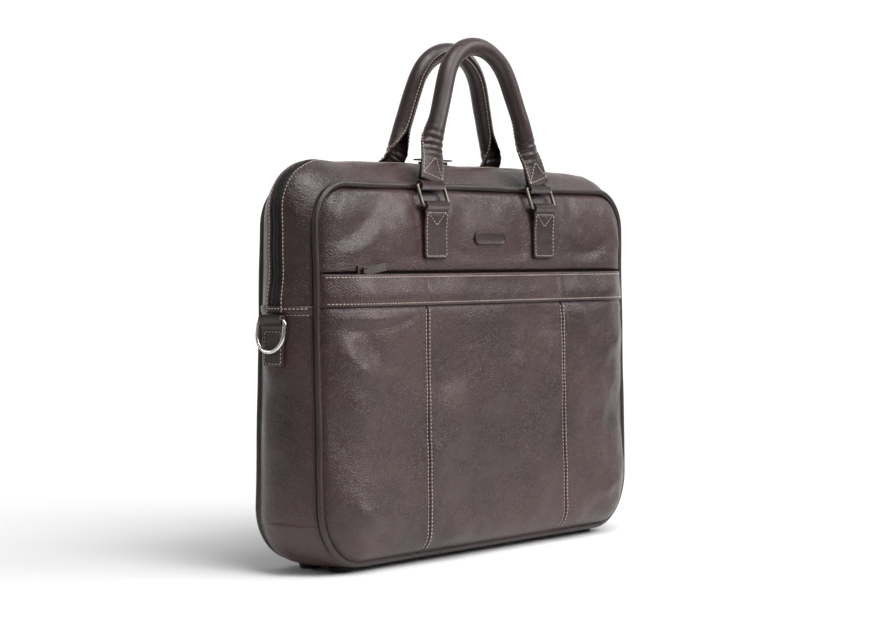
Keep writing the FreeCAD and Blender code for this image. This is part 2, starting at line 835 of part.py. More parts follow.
def slider(name, place):
    """A zip slider: a plate with a flange each side of the coil and a bridge for the pull."""
    half_length = cell("slider_half_length")
    half_width = cell("slider_half_width")
    low = cell("slider_plate_bottom")
    high = "%s + %s" % (low, cell("slider_plate_thick"))
    corner = ("-" + half_length, "-" + half_width, low)
    shapes = [cuboid(name + "_plate", corner, (half_length, half_width, high))]
    flange_low = cell("slider_flange_bottom")
    inner = "%s - %s" % (half_width, cell("slider_flange"))
    edges = (("a", "-" + half_width, "-(%s)" % inner), ("b", inner, half_width))
    for word, start, end in edges:
        corner = ("-" + half_length, start, flange_low)
        shapes.append(cuboid(name + "_flange_" + word, corner, (half_length, end, high)))
    bridge_x = cell("bridge_half_length")
    bridge_y = cell("bridge_half_width")
    top = "%s + %s" % (high, cell("bridge_height"))
    corner = ("-" + bridge_x, "-" + bridge_y, low)
    shapes.append(cuboid(name + "_bridge", corner, (bridge_x, bridge_y, top)))
    bore = bar_along(
        name + "_bore",
        cell("bridge_bore"),
        "-" + half_width,
        half_width,
        "y",
        (0, "-" + half_width, cell("pull_axis")),
    )
    made = cut(name + "_cut", fuse(name + "_solid", shapes), bore)
    made.Placement = place
    return made


def pull(name, length, place):
    """A zip pull: a plate with a window, and the cross bar that turns in the slider's bridge."""
    half = cell("pull_half_width")
    low = "%s - %s / 2" % (cell("pull_axis"), cell("pull_thick"))
    high = "%s + %s / 2" % (cell("pull_axis"), cell("pull_thick"))
    plate = cuboid(name + "_plate", (0, "-" + half, low), (length, half, high))
    inner = "%s - %s" % (half, cell("pull_arm"))
    window = cuboid(
        name + "_window",
        ("-" + half, "-(%s)" % inner, "%s - 1" % low),
        (cell("pull_window"), inner, "%s + 1" % high),
    )
    base = (0, "-" + half, cell("pull_axis"))
    bar = bar_along(name + "_bar", cell("pull_bar_radius"), "-" + half, half, "y", base)
    made = fuse(name + "_solid", [cut(name + "_open", plate, window), bar])
    made.Placement = place
    return made


def make_sliders(pocket_front):
    """Two sliders that meet on the main zip, and one on the pocket's zip."""
    vec = FreeCAD.Vector
    crest = val("gusset_top") + val("gusset_dome") - val("tape_depth")
    for side, word in ((-1, "left"), (1, "right")):
        x_here = val("slider_centre_x") + side * val("slider_spacing") / 2
        at = vec(x_here, 0, crest)
        body = slider("main_slider_" + word, FreeCAD.Placement(at, FreeCAD.Rotation()))
        finish_part(body, "main_slider_" + word)
        facing = FreeCAD.Rotation(vec(0, 0, 1), 90 - side * 90)
        tab = pull("main_pull_" + word, cell("main_pull_length"), FreeCAD.Placement(at, facing))
        finish_part(tab, "main_pull_" + word)
    at = vec(-val("pocket_slider_start"), pocket_front, val("pocket_zip_centre"))
    upright = FreeCAD.Rotation(vec(1, 0, 0), 90)
    finish_part(slider("pocket_slider", FreeCAD.Placement(at, upright)), "pocket_zip_slider")
    tilted = upright.multiply(FreeCAD.Rotation(vec(0, 0, 1), val("pocket_pull_tilt")))
    tab = pull("pocket_pull", cell("pocket_pull_length"), FreeCAD.Placement(at, tilted))
    finish_part(tab, "pocket_zip_pull")


def make_feet():
    """Four low studs under the base."""
    for end, y_sign in (("front", -1), ("back", 1)):
        for side, x_sign in (("left", -1), ("right", 1)):
            foot = doc.addObject("Part::Cone", "foot_cone_%s_%s" % (end, side))
            foot.setExpression("Radius1", cell("foot_base_radius"))
            foot.setExpression("Radius2", cell("foot_radius"))
            foot.setExpression("Height", cell("foot_height"))
            foot.setExpression("Placement.Base.x", "%d * %s" % (x_sign, cell("foot_x")))
            foot.setExpression("Placement.Base.y", "%d * %s" % (y_sign, cell("foot_y")))
            finish_part(foot, "foot_%s_%s" % (end, side))


def write_parts():
    """Checks every object, then writes each sub-part to its own file."""
    doc.recompute()
    for made in doc.Objects:
        if "Invalid" in made.State or "Error" in made.State:
            raise RuntimeError("%s did not build: %s" % (made.Name, made.State))
    os.makedirs("parts", exist_ok=True)
    for made in parts:
        shape = made.Shape
        if shape.isNull() or not shape.isValid() or not shape.Solids:
            raise RuntimeError("%s has no valid solid" % made.Label)
        shape.exportStep("parts/%s.step" % made.Label)


upper_dish = make_front_wall_leather()
pocket_front = make_pocket_inside()
make_wall_padding(upper_dish)
make_gusset()
make_main_zip()
make_piping()
make_badge_and_board()
make_ring_and_tab()
make_handle("front", -1, val("front_lean"), val("front_lean"), val("front_apex"))
make_handle("back", 1, val("back_lean"), val("back_tube_lean"), val("back_apex"))
make_d_rings()
make_sliders(pocket_front)
make_feet()
write_parts()
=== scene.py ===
import math
import bpy
import numpy as np
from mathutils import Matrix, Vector


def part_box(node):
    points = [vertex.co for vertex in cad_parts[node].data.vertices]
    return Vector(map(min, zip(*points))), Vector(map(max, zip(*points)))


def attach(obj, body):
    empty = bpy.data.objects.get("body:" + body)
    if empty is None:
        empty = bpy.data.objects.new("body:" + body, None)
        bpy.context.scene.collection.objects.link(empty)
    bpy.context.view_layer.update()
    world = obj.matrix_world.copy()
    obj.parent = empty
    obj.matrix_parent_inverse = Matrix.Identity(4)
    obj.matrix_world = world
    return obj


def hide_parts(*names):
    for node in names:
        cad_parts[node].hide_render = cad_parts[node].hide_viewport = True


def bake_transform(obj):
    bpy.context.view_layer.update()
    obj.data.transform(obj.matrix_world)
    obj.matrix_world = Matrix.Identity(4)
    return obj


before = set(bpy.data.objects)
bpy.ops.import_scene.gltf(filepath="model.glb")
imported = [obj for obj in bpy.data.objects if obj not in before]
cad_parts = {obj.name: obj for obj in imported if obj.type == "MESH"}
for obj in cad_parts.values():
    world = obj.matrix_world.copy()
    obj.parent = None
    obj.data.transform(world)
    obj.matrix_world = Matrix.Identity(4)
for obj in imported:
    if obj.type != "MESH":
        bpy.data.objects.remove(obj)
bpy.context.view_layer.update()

MM = 0.001

# the bag's outline and depth, in millimetres, as the CAD has them
HALF_WIDTH, WALL_TOP, WALL_BOTTOM = 199.0, 302.7, 6.2
TOP_RADIUS, BOTTOM_RADIUS = 33.0, 45.0
WALL_Y, TILT = 27.0, math.tan(math.radians(1.25))
PANEL_BOW, PANEL_RUN = 10.5, 55.0
POCKET_BOW, POCKET_RUN = 17.5, 80.0
GUSSET_Y, GUSSET_HALF, GUSSET_TOP, GUSSET_BOTTOM = 24.2, 200.5, 304.7, 4.2
DOME, BULGE = 17.0, 13.0
LEATHER = 1.8
SEAM_Z, LAP_TOP, SEAM_X = 201.9, 207.8, 89.0
BAND_BOTTOM, BAND_TOP, UPPER_BOTTOM = 206.7, 232.1, 233.2
LOW, HIGH = WALL_BOTTOM + 1, WALL_TOP - 1
RING_X = 71.0
GRID = 1.3
COARSE = 5.0

# places across the gusset, from 0 at its middle to 1 at the wall, and the lengths of its two runs
EDGE, ZIP_EDGE, TAPE_EDGE, MIDDLE = 1.07, 5.0 / GUSSET_Y, 12.0 / GUSSET_Y, 0.2 / GUSSET_Y
RUN_LENGTHS = {"upper": 660, "lower": 860}

# the gusset's leather stays calm round the main zip's sliders and the D-rings
SLIDERS_X, SLIDERS_Z, D_RING_Z = -33, 321, 180


# ---- smooth noise


def lattice(ix, iy, iz, seed):
    """A repeatable number from 0 to 1 for each lattice point."""
    h = (ix * 374761393 + iy * 668265263 + iz * 2147483647 + seed * 1274126177) & 0xFFFFFFFF
    h = ((h ^ (h >> 13)) * 1274126177) & 0xFFFFFFFF
    return ((h ^ (h >> 16)) & 0xFFFFFF) / float(0xFFFFFF)


def noise(x, y, z, cell, seed):
    """Smooth noise from -1 to 1 with features of about cell millimetres."""
    p = np.stack(np.broadcast_arrays(x, y, z), axis=-1) / cell + 1000.0
    i = np.floor(p).astype(np.int64)
    f = p - i
    f = f * f * f * (f * (f * 6 - 15) + 10)
    total = 0.0
    for dx in (0, 1):
        for dy in (0, 1):
            for dz in (0, 1):
                w = (
                    (f[..., 0] if dx else 1 - f[..., 0])
                    * (f[..., 1] if dy else 1 - f[..., 1])
                    * (f[..., 2] if dz else 1 - f[..., 2])
                )
                total = total + w * lattice(i[..., 0] + dx, i[..., 1] + dy, i[..., 2] + dz, seed)
    return total * 2 - 1


def bump(distance, width):
    """A smooth bell of height 1."""
    return np.exp(-((distance / width) ** 2))


def ease(t):
    """0 to 1 as t goes from 0 to 1, flat at both ends."""
    t = np.clip(t, 0, 1)
    return t * t * (3 - 2 * t)


def unit(vectors):
    """Vectors scaled to length 1."""
    return vectors / np.maximum(np.linalg.norm(vectors, axis=-1, keepdims=True), 1e-9)


def circle(count):
    """Even angles once round."""
    return np.arange(count) / count * 2 * math.pi


def run_lengths(path):
    """How far along a path each of its points lies."""
    return np.concatenate([[0], np.cumsum(np.linalg.norm(np.diff(path, axis=0), axis=1))])


def cad_box(node):
    """A CAD node's low and high corners, in millimetres."""
    return (np.array(corner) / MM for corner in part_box(node))


# ---- meshes


def add_mesh(name, vertices, faces, material):
    """A mesh object from vertices in millimetres."""
    mesh = bpy.data.meshes.new(name)
    mesh.from_pydata((np.asarray(vertices) * MM).tolist(), [], faces)
    mesh.validate()
    mesh.update()
    mesh.polygons.foreach_set("use_smooth", [True] * len(mesh.polygons))
    mesh.materials.append(material)
    obj = bpy.data.objects.new(name, mesh)
    bpy.context.scene.collection.objects.link(obj)
    return obj


def shell(name, outer, thickness, outward, material):
    """A closed skin behind a grid of points. outward is a rough way out, or a grid of them."""
    n = unit(np.cross(np.gradient(outer, axis=0), np.gradient(outer, axis=1)))
    flip = np.sign(np.sum(n * np.asarray(outward, float), axis=2, keepdims=True))
    majority = 1.0 if flip.sum() >= 0 else -1.0
    inner = outer - n * majority * np.asarray(thickness, float)
    rows, cols = outer.shape[:2]
    index = np.arange(rows * cols).reshape(rows, cols)
    a, b, c, d = index[:-1, :-1], index[1:, :-1], index[1:, 1:], index[:-1, 1:]
    front = np.stack([a, b, c, d], axis=-1).reshape(-1, 4)
    back = front[:, ::-1] + rows * cols
    rims = []
    edges = ((index[0], False), (index[-1], True), (index[:, 0], True), (index[:, -1], False))
    for line, turned in edges:
        low, high = line[:-1], line[1:]
        quad = [low, high, high + rows * cols, low + rows * cols]
        if turned:
            quad.reverse()
        rims.append(np.stack(quad, axis=-1))
    faces = np.concatenate([front, back] + rims)
    if majority < 0:
        faces = faces[:, ::-1]
    vertices = np.concatenate([outer.reshape(-1, 3), inner.reshape(-1, 3)])
    return add_mesh(name, vertices, faces.tolist(), material)


def tube(name, rings, material, closed=False):
    """A skin round rings of points, shaped (rings, points, 3), capped unless it closes on itself."""
    count, around = rings.shape[:2]
    index = np.arange(count * around).reshape(count, around)
    nxt = np.roll(index, -1, axis=1)
    if closed:
        low, high = index, np.roll(index, -1, axis=0)
        nlow, nhigh = nxt, np.roll(nxt, -1, axis=0)
    else:
        low, high, nlow, nhigh = index[:-1], index[1:], nxt[:-1], nxt[1:]
    faces = np.stack([low, nlow, nhigh, high], axis=-1).reshape(-1, 4).tolist()
    if not closed:
        faces.append(index[0, ::-1].tolist())
        faces.append(index[-1].tolist())
    return add_mesh(name, rings.reshape(-1, 3), faces, material)


def frames_along(path, up, closed=False):
    """Sideways and up directions along a path, with up held near the one given."""
    path = np.asarray(path, float)
    if closed:
        tangent = np.roll(path, -1, axis=0) - np.roll(path, 1, axis=0)
    else:
        tangent = np.gradient(path, axis=0)
    tangent = unit(tangent)
    side = unit(np.cross(tangent, np.broadcast_to(np.asarray(up, float), path.shape)))
    return side, np.cross(side, tangent)


def round_bar(name, path, radius, up, material, closed=False):
    """A round bar along a path."""
    side, top = frames_along(path, up, closed)
    angle = circle(12)[None, :, None]
    spread = np.cos(angle) * side[:, None, :] + np.sin(angle) * top[:, None, :]
    return tube(name, path[:, None, :] + radius * spread, material, closed)


def resample(path, step, closed=False):
    """The same path with points an even step apart."""
    path = np.asarray(path, float)
    if closed:
        path = np.vstack([path, path[:1]])
    lengths = run_lengths(path)
    count = max(2, int(round(lengths[-1] / step)))
    at = np.linspace(0, lengths[-1], count + 1)
    out = np.stack([np.interp(at, lengths, path[:, k]) for k in range(3)], axis=1)
    return out[:-1] if closed else out


def relax(path, times):
    """The same path with its kinks eased."""
    path = np.array(path, float)
    for _ in range(times):
        path[1:-1] = (path[:-2] + 2 * path[1:-1] + path[2:]) / 4
    return path


class Stitches:
    """Gathers small rounded bars, such as stitches or zip teeth, and makes them one piece."""

    def __init__(self):
        self.vertices, self.faces, self.count = [], [], 0

    def bars(self, starts, ends, way, radius, lift=0.0):
        """Bars between two sets of points; way is the direction out of the surface at each."""
        number, around = len(starts), 6
        half = (ends - starts) / 2
        side = unit(np.cross(half, way))
        centre = (starts + ends) / 2
        shares = np.array([-1.0, -0.8, -0.35, 0.35, 0.8, 1.0])
        widths = np.array([0.3, 0.85, 1.0, 1.0, 0.85, 0.3]) * radius
        sink = np.array([-0.7, -0.2, 0.0, 0.0, -0.2, -0.7]) * radius
        angle = circle(around)[None, :, None]
        spread = np.cos(angle) * side[:, None, :] + np.sin(angle) * way[:, None, :]
        rings = []
        for share, width, drop in zip(shares, widths, sink):
            base = centre + half * share + way * (lift + drop)
            rings.append(base[:, None, :] + width * spread)
        rings = np.stack(rings, axis=1)
        per = len(shares) * around
        grid = np.arange(per).reshape(len(shares), around)
        turned = np.roll(grid, -1, axis=1)
        one = np.stack([grid[:-1], turned[:-1], turned[1:], grid[1:]], axis=-1).reshape(-1, 4)
        base = self.count + np.arange(number)[:, None, None] * per
        self.faces += (one[None] + base).reshape(-1, 4).tolist()
        for cap in (grid[0, ::-1], grid[-1]):
            self.faces += (cap[None] + base[:, 0]).tolist()
        self.vertices.append(rings.reshape(-1, 3))
        self.count += number * per

    def row(self, path, out, pitch=3.1, length=2.25, radius=0.46, lift=0.08):
        """Stitches along a path on a surface; out is the way out at each point, or one for all."""
        path = np.asarray(path, float)
        out = np.broadcast_to(np.asarray(out, float), path.shape)
        lengths = run_lengths(path)
        number = int(lengths[-1] / pitch)
        if number < 1:
            return
        middle = (np.arange(number) + 0.5) * lengths[-1] / number

        def at(values, where):
            return np.stack([np.interp(where, lengths, values[:, k]) for k in range(3)], axis=1)

        starts, ends = at(path, middle - length / 2), at(path, middle + length / 2)
        self.bars(starts, ends, unit(at(out, middle)), radius, lift)

    def make(self, name, material):
        """The bars as one mesh."""
        return add_mesh(name, np.concatenate(self.vertices), self.faces, material)


# ---- materials


def shaded(colour, share):
    """A colour at a share of its strength, with alpha."""
    return tuple(c * share for c in colour) + (1.0,)


class Nodes:
    """Short names for building the nodes of a material or of the world."""

    def __init__(self, owner):
        owner.use_nodes = True
        self.owner, self.tree = owner, owner.node_tree
        coordinates = self.tree.nodes.new("ShaderNodeTexCoord")
        self.place, self.direction = (coordinates.outputs[word] for word in ("Object", "Generated"))

    def link(self, value, socket):
        """Gives a socket a number, a colour or another node's output."""
        if isinstance(value, bpy.types.NodeSocket):
            self.tree.links.new(value, socket)
        else:
            socket.default_value = value

    def add(self, kind, **inputs):
        """A new node with some of its inputs given."""
        node = self.tree.nodes.new("ShaderNode" + kind)
        for word, value in inputs.items():
            self.link(value, node.inputs[word])
        return node

    def stretched(self, scale, turn=(0, 0, 0)):
        """The place, stretched and turned."""
        return self.add("Mapping", Vector=self.place, Scale=scale, Rotation=turn).outputs["Vector"]

    def noise(self, scale, detail=3.0, place=None):
        node = self.add("TexNoise", Vector=place or self.place, Scale=scale, Detail=detail, Roughness=0.55)
        return node.outputs["Fac"]

    def cells(self, scale, place):
        """How far a place is from the edges of small cells."""
        node = self.add("TexVoronoi")
        node.feature = "DISTANCE_TO_EDGE"
        self.link(place, node.inputs["Vector"])
        self.link(scale, node.inputs["Scale"])
        return node.outputs["Distance"]

    def ramp(self, value, low, high, start=0.0, end=1.0):
        """value from low to high becomes start to end, eased and held at both."""
        node = self.add("MapRange", Value=value)
        node.interpolation_type = "SMOOTHSTEP"
        for socket, number in (("From Min", low), ("From Max", high), ("To Min", start), ("To Max", end)):
            node.inputs[socket].default_value = number
        return node.outputs["Result"]

    def maths(self, operation, a, b, kind="Math", answer=0):
        """The answer to one sum on a and b."""
        node = self.add(kind)
        node.operation = operation
        self.link(a, node.inputs[0])
        self.link(b, node.inputs[1])
        return node.outputs[answer]

    def warped(self, place, scale, amount):
        """A place pushed about by noise."""
        push = self.add("TexNoise", Vector=self.place, Scale=scale).outputs["Color"]
        step = self.maths("MULTIPLY", push, (amount, amount, amount), "VectorMath")
        return self.maths("ADD", place, step, "VectorMath")

    def mix(self, share, first, second):
        node = self.add("Mix")
        node.data_type = "RGBA"
        for value, at in ((share, 0), (first, 6), (second, 7)):
            self.link(value, node.inputs[at])
        return node.outputs[2]

    def bump(self, height, distance, strength, below=None):
        node = self.add("Bump", Height=height, Distance=distance, Strength=strength)
        if below is not None:
            self.link(below, node.inputs["Normal"])
        return node.outputs["Normal"]

    def done(self, colour, roughness, normal=None, **rest):
        """The finished material."""
        shader = self.tree.nodes["Principled BSDF"]
        self.link(colour, shader.inputs["Base Color"])
        self.link(roughness, shader.inputs["Roughness"])
        if normal is not None:
            self.link(normal, shader.inputs["Normal"])
        for word, value in rest.items():
            self.link(value, shader.inputs[word.replace("_", " ")])
        return self.owner


def leather(name, colour, grain=1.0, depth=1.0, roughness=0.31, stretch=(0.85, 0.85, 1.0)):
    """Grained leather: pebbles parted by fine creases painted darker as shade, with worn, paler high spots.
    """
    m = Nodes(bpy.data.materials.new(name))
    dark = shaded(colour, 0.62)
    pale = tuple(c * 1.35 + 0.004 for c in colour) + (1.0,)
    place = m.warped(m.stretched(stretch), 160.0, 0.0035)
    pebbles = m.ramp(m.cells(530.0 / grain, place), 0.0, 0.34)
    small = m.ramp(m.cells(1150.0 / grain, place), 0.0, 0.4)
    folds = m.ramp(m.noise(120.0, 4.0, m.warped(m.stretched((0.5, 0.5, 1.0)), 40.0, 0.02)), 0.35, 0.65)
    pores = m.noise(2600.0, 2.0)
    patches = m.noise(14.0, 3.0)
    height = m.maths("ADD", m.maths("MULTIPLY", pebbles, 0.62), m.maths("MULTIPLY", small, 0.22))
    height = m.maths("ADD", height, m.maths("MULTIPLY", pores, 0.12))
    normal = m.bump(folds, 0.0005 * depth, 0.14)
    normal = m.bump(height, 0.00031 * depth, 0.9, normal)
    shade = m.mix(m.ramp(patches, 0.3, 0.7), dark, pale)
    # painted shade: the creases between the pebbles are darkened toward 0.45 of the colour
    shade = m.mix(m.ramp(pebbles, 0.0, 0.8, 0.55, 0.0), shade, shaded(colour, 0.45))
    rough = m.ramp(patches, 0.3, 0.7, roughness - 0.05, roughness + 0.06)
    rough = m.maths("ADD", rough, m.ramp(pebbles, 0, 1, 0.10, 0))
    return m.done(shade, rough, normal, Specular_IOR_Level=0.55, Coat_Weight=0.16, Coat_Roughness=0.24)


def thread_material():
    """Twisted waxed thread."""
    m = Nodes(bpy.data.materials.new("thread"))
    twist = m.noise(1500.0, 2.0, m.stretched((1.0, 1.0, 2.2), (0.6, 0.3, 0.0)))
    soil = m.noise(35.0, 2.0)
    colour = m.mix(m.ramp(soil, 0.35, 0.7), (0.50, 0.41, 0.355, 1), (0.34, 0.27, 0.235, 1))
    return m.done(colour, 0.62, m.bump(twist, 0.0002, 0.6), Sheen_Weight=0.15)


def woven(name, colour, threads, rough=0.8):
    """A plain weave, its gaps between the threads painted darker as shade."""
    m = Nodes(bpy.data.materials.new(name))
    place = m.warped(m.place, 60.0, 0.0006)
    along, across = (m.add("TexWave", Vector=place, Scale=threads, Distortion=0.6) for _ in range(2))
    across.bands_direction = "Z"
    weave = m.maths("MULTIPLY", along.outputs["Fac"], across.outputs["Fac"])
    # painted shade: the gaps between the threads are darkened to 0.55 of the colour
    shade = m.mix(m.ramp(weave, 0.1, 0.7), shaded(colour, 0.55), shaded(colour, 1))
    fuzz = m.noise(1800.0, 2.0)
    normal = m.bump(m.maths("ADD", weave, m.maths("MULTIPLY", fuzz, 0.4)), 0.00025, 0.7)
    return m.done(shade, rough, normal, Sheen_Weight=0.3, Sheen_Roughness=0.5)


def metal(name, colour, roughness, tarnish):
    """Plated metal with fine scratches and a little tarnish."""
    m = Nodes(bpy.data.materials.new(name))
    lines = m.noise(900.0, 3.0, m.stretched((1.0, 0.12, 0.25), (0.3, 0.8, 0.2)))
    cloud = m.noise(140.0, 4.0)
    shade = m.mix(m.ramp(cloud, 0.45, 0.75, 0.0, tarnish), shaded(colour, 1), shaded(colour, 0.35))
    rough = m.ramp(lines, 0.3, 0.7, roughness, roughness + 0.10)
    rough = m.maths("ADD", rough, m.ramp(cloud, 0.4, 0.7, 0.0, tarnish * 0.3))
    return m.done(shade, rough, m.bump(lines, 0.00003, 0.4), Metallic=1.0)


def plain_grained(name, colour, rough, scale=700.0, depth=0.00015):
    """A hard or foamed material with a fine even grain."""
    m = Nodes(bpy.data.materials.new(name))
    grain = m.noise(scale, 4.0)
    cloud = m.noise(30.0, 2.0)
    shade = m.mix(m.ramp(cloud, 0.3, 0.7), shaded(colour, 0.75), shaded(colour, 1))
    return m.done(shade, m.ramp(grain, 0.2, 0.8, rough - 0.08, rough + 0.08), m.bump(grain, depth, 0.6))


BROWN = (0.051, 0.0212, 0.0210)
LEATHER_SKIN = leather("grained_leather", BROWN)
HANDLE_SKIN = leather("handle_leather", (0.034, 0.0112, 0.0110), 0.62, 0.5, 0.29, (1, 1, 0.7))
# painted shade: the piping is the body's leather darkened to 0.60, standing for the shade along the seam at
# the wall's edge
PIPING_PAINTED_SHADE_SKIN = leather("piping_leather_painted_shade", tuple(c * 0.60 for c in BROWN), 0.6, 0.5, 0.33, (1, 1, 1))
EDGE_SKIN = leather("strap_leather", tuple(c * 0.66 for c in BROWN), 0.7, 0.6, 0.32, (1, 1, 0.8))
THREAD = thread_material()
TAPE = woven("zip_tape", (0.020, 0.014, 0.013), 900.0)
COIL = plain_grained("zip_coil", (0.016, 0.012, 0.012), 0.35, 1500.0)
LINING = woven("lining_fabric", (0.11, 0.075, 0.055), 700.0, 0.7)
FOAM = plain_grained("foam", (0.45, 0.43, 0.38), 0.9, 1600.0, 0.0004)
BOARD = plain_grained("board", (0.10, 0.075, 0.05), 0.8, 500.0)
FOOT = plain_grained("foot_plastic", (0.012, 0.010, 0.010), 0.5, 900.0)
NICKEL = metal("bright_nickel", (0.76, 0.74, 0.70), 0.16, 0.15)
ANTIQUE = metal("antique_nickel", (0.20, 0.17, 0.15), 0.30, 0.6)
GUNMETAL = metal("gunmetal", (0.045, 0.038, 0.036), 0.42, 0.5)


# ---- the shape of the bag


def edge_distance(x, z, half, top, bottom, top_radius, bottom_radius):
    """How far in from an upright rounded rectangle's edge a point lies."""
    middle = (top + bottom) / 2
    radius = np.where(z > middle, top_radius, bottom_radius)
    dx = np.abs(x) - (half - radius)
    dz = np.where(z > middle, z - (top - radius), (bottom + radius) - z)
    outside = np.hypot(np.maximum(dx, 0), np.maximum(dz, 0))
    inside = np.minimum(np.maximum(dx, dz), 0)
    return radius - outside - inside


def half_width_at(z, margin):
    """Half the wall's width at a height, margin inside the outline."""
    half, top, bottom = HALF_WIDTH - margin, WALL_TOP - margin, WALL_BOTTOM + margin
    up = np.clip(z - (top - TOP_RADIUS), 0, TOP_RADIUS)
    down = np.clip((bottom + BOTTOM_RADIUS) - z, 0, BOTTOM_RADIUS)
    high = TOP_RADIUS - np.sqrt(np.maximum(TOP_RADIUS**2 - up**2, 0))
    low = BOTTOM_RADIUS - np.sqrt(np.maximum(BOTTOM_RADIUS**2 - down**2, 0))
    return half - high - low


def wall_out(x, z, bow, run, full_foot=0.0):
    """How far the smooth wall lies from the middle plane. full_foot makes it rise faster from its foot."""
    d = edge_distance(x, z, HALF_WIDTH, WALL_TOP, WALL_BOTTOM, TOP_RADIUS, BOTTOM_RADIUS)
    foot = ease(((HALF_WIDTH - np.abs(x)) - (z - WALL_BOTTOM)) / 70 + 0.5)
    share = np.clip(d / (run * (1 - full_foot * foot)), 0, 1)
    return WALL_Y + (WALL_TOP - z) * TILT + bow * (1 - (1 - share) ** 4)


def ridge(x, z, ends, width):
    """A soft ridge of height 1 along a line from one point to another."""
    (ax, az), (bx, bz) = ends
    length = math.hypot(bx - ax, bz - az)
    ux, uz = (bx - ax) / length, (bz - az) / length
    along = (x - ax) * ux + (z - az) * uz
    off = (z - az) * ux - (x - ax) * uz
    off = off + 0.06 * length * np.sin(along / length * math.pi)
    beyond = np.maximum(np.maximum(-along, along - length), 0)
    taper = 0.35 + 0.65 * ease(np.minimum(along, length - along) / (0.4 * length))
    return bump(off, width) * bump(beyond, width * 1.4) * taper


# soft folds that handling has left in each wall: two ends, width and height
UPPER_FOLDS = (
    (((-190, 256), (-128, 290)), 9, -1.3),
    (((-182, 244), (-140, 262)), 7, 0.9),
    (((-112, 292), (-96, 258)), 12, 1.5),
    (((-46, 292), (-34, 262)), 9, 0.9),
    (((-120, 246), (-70, 240)), 7, -0.8),
    (((-50, 240), (40, 243)), 6, -0.9),
    (((100, 292), (116, 262)), 11, 1.2),
    (((120, 246), (176, 262)), 8, -1.0),
    (((188, 262), (150, 292)), 8, 0.9),
)
POCKET_FOLDS = (
    (((-192, 200), (-104, 203)), 4, 0.9),
    (((-190, 190), (-130, 196)), 5, -0.8),
    (((-188, 182), (-150, 148)), 8, 1.7),
    (((-170, 190), (-118, 160)), 9, -1.2),
    (((-182, 150), (-150, 104)), 11, 1.2),
    (((-128, 186), (-96, 198)), 5, 1.0),
    (((-186, 66), (-140, 34)), 9, 1.5),
    (((-176, 44), (-132, 20)), 6, -1.2),
    (((-150, 60), (-100, 26)), 10, 0.9),
    (((188, 180), (140, 150)), 10, 1.2),
    (((186, 120), (150, 90)), 10, -1.0),
    (((184, 60), (136, 28)), 9, 1.4),
    (((170, 38), (120, 20)), 6, -1.0),
    (((-60, 34), (50, 28)), 9, 0.9),
    (((100, 196), (150, 202)), 5, 0.7),
)


def wall_life(x, z, folds, seed):
    """The unevenness of a used wall, in millimetres outward."""
    d = edge_distance(x, z, HALF_WIDTH, WALL_TOP, WALL_BOTTOM, TOP_RADIUS, BOTTOM_RADIUS)
    edge = ease(d / 14)
    total = 0.0
    for step, (height, cell) in enumerate(((2.2, 64), (1.3, 27), (0.28, 10))):
        total = total + height * noise(x, z * 1.25, 0, cell, seed + step)
    for ends, width, height in folds:
        total = total + 1.5 * height * ridge(x, z, ends, width)
    return total * edge


# the handle tabs and the badge: middle, half width, foot and top, and how far round them the wall stays calm
SHELTERED = ((-RING_X, 14, 242, 290, 14), (RING_X, 14, 242, 290, 14), (0, 15, 257, 263, 30))


def tab_shelter(x, z):
    """0 where a handle tab or the badge lies on the wall, 1 away from them."""
    near = np.ones_like(x)
    for cx, half, low, high, reach in SHELTERED:
        dx = np.maximum(np.abs(x - cx) - half, 0)
        dz = np.maximum(np.maximum(low - z, z - high), 0)
        near = near * ease(np.hypot(dx, dz) / reach)
    return near


def groove(x, z):
    """How far the leather dips beside the piping."""
    d = edge_distance(x, z, HALF_WIDTH, WALL_TOP, WALL_BOTTOM, TOP_RADIUS, BOTTOM_RADIUS)
    return 2.3 * bump(d - 3.0, 2.2)


def panel_out(x, z):
    """The front's upper panel."""
    life = wall_life(x, z, UPPER_FOLDS, 11) * tab_shelter(x, z) * ease((z - 239) / 12)
    return wall_out(x, z, PANEL_BOW, PANEL_RUN) + life - 0.1 - groove(x, z)


def pocket_out(x, z):
    """The pocket's front."""
    seams = bump(np.abs(x) - SEAM_X, 3.0) + bump(z - BAND_BOTTOM, 5.0)
    life = wall_life(x, z, POCKET_FOLDS, 23) * (1 - 0.75 * np.clip(seams, 0, 1))
    return wall_out(x, z, POCKET_BOW, POCKET_RUN, 0.6) + life - groove(x, z)


def seam_line(z):
    """How far from the middle the pocket's upright seams run."""
    return SEAM_X + 0.6 * np.sin(z / 37) + 0.3 * np.sin(z / 13)


def heights(low, high, step):
    """Even heights, closer together round the top and bottom corners."""
    turn = np.sin(np.linspace(0, math.pi / 2, 40))
    upper = HIGH - TOP_RADIUS + TOP_RADIUS * turn
    lower = LOW + BOTTOM_RADIUS - BOTTOM_RADIUS * turn
    rows = np.concatenate([np.arange(low, high, step), upper, lower, [low, high]])
    rows = np.unique(np.round(rows[(rows >= low) & (rows <= high)], 3))
    keep = [rows[0]]
    for z in rows[1:-1]:
        if z - keep[-1] > 0.05:
            keep.append(z)
    return np.array(keep + [rows[-1]])


def turned_edge(distance, size=1.3):
    """How far a folded edge has dropped, a distance in from it."""
    t = np.clip(1 - distance / size, 0, 1)
    return size * (1 - np.sqrt(np.maximum(1 - t * t, 0)))


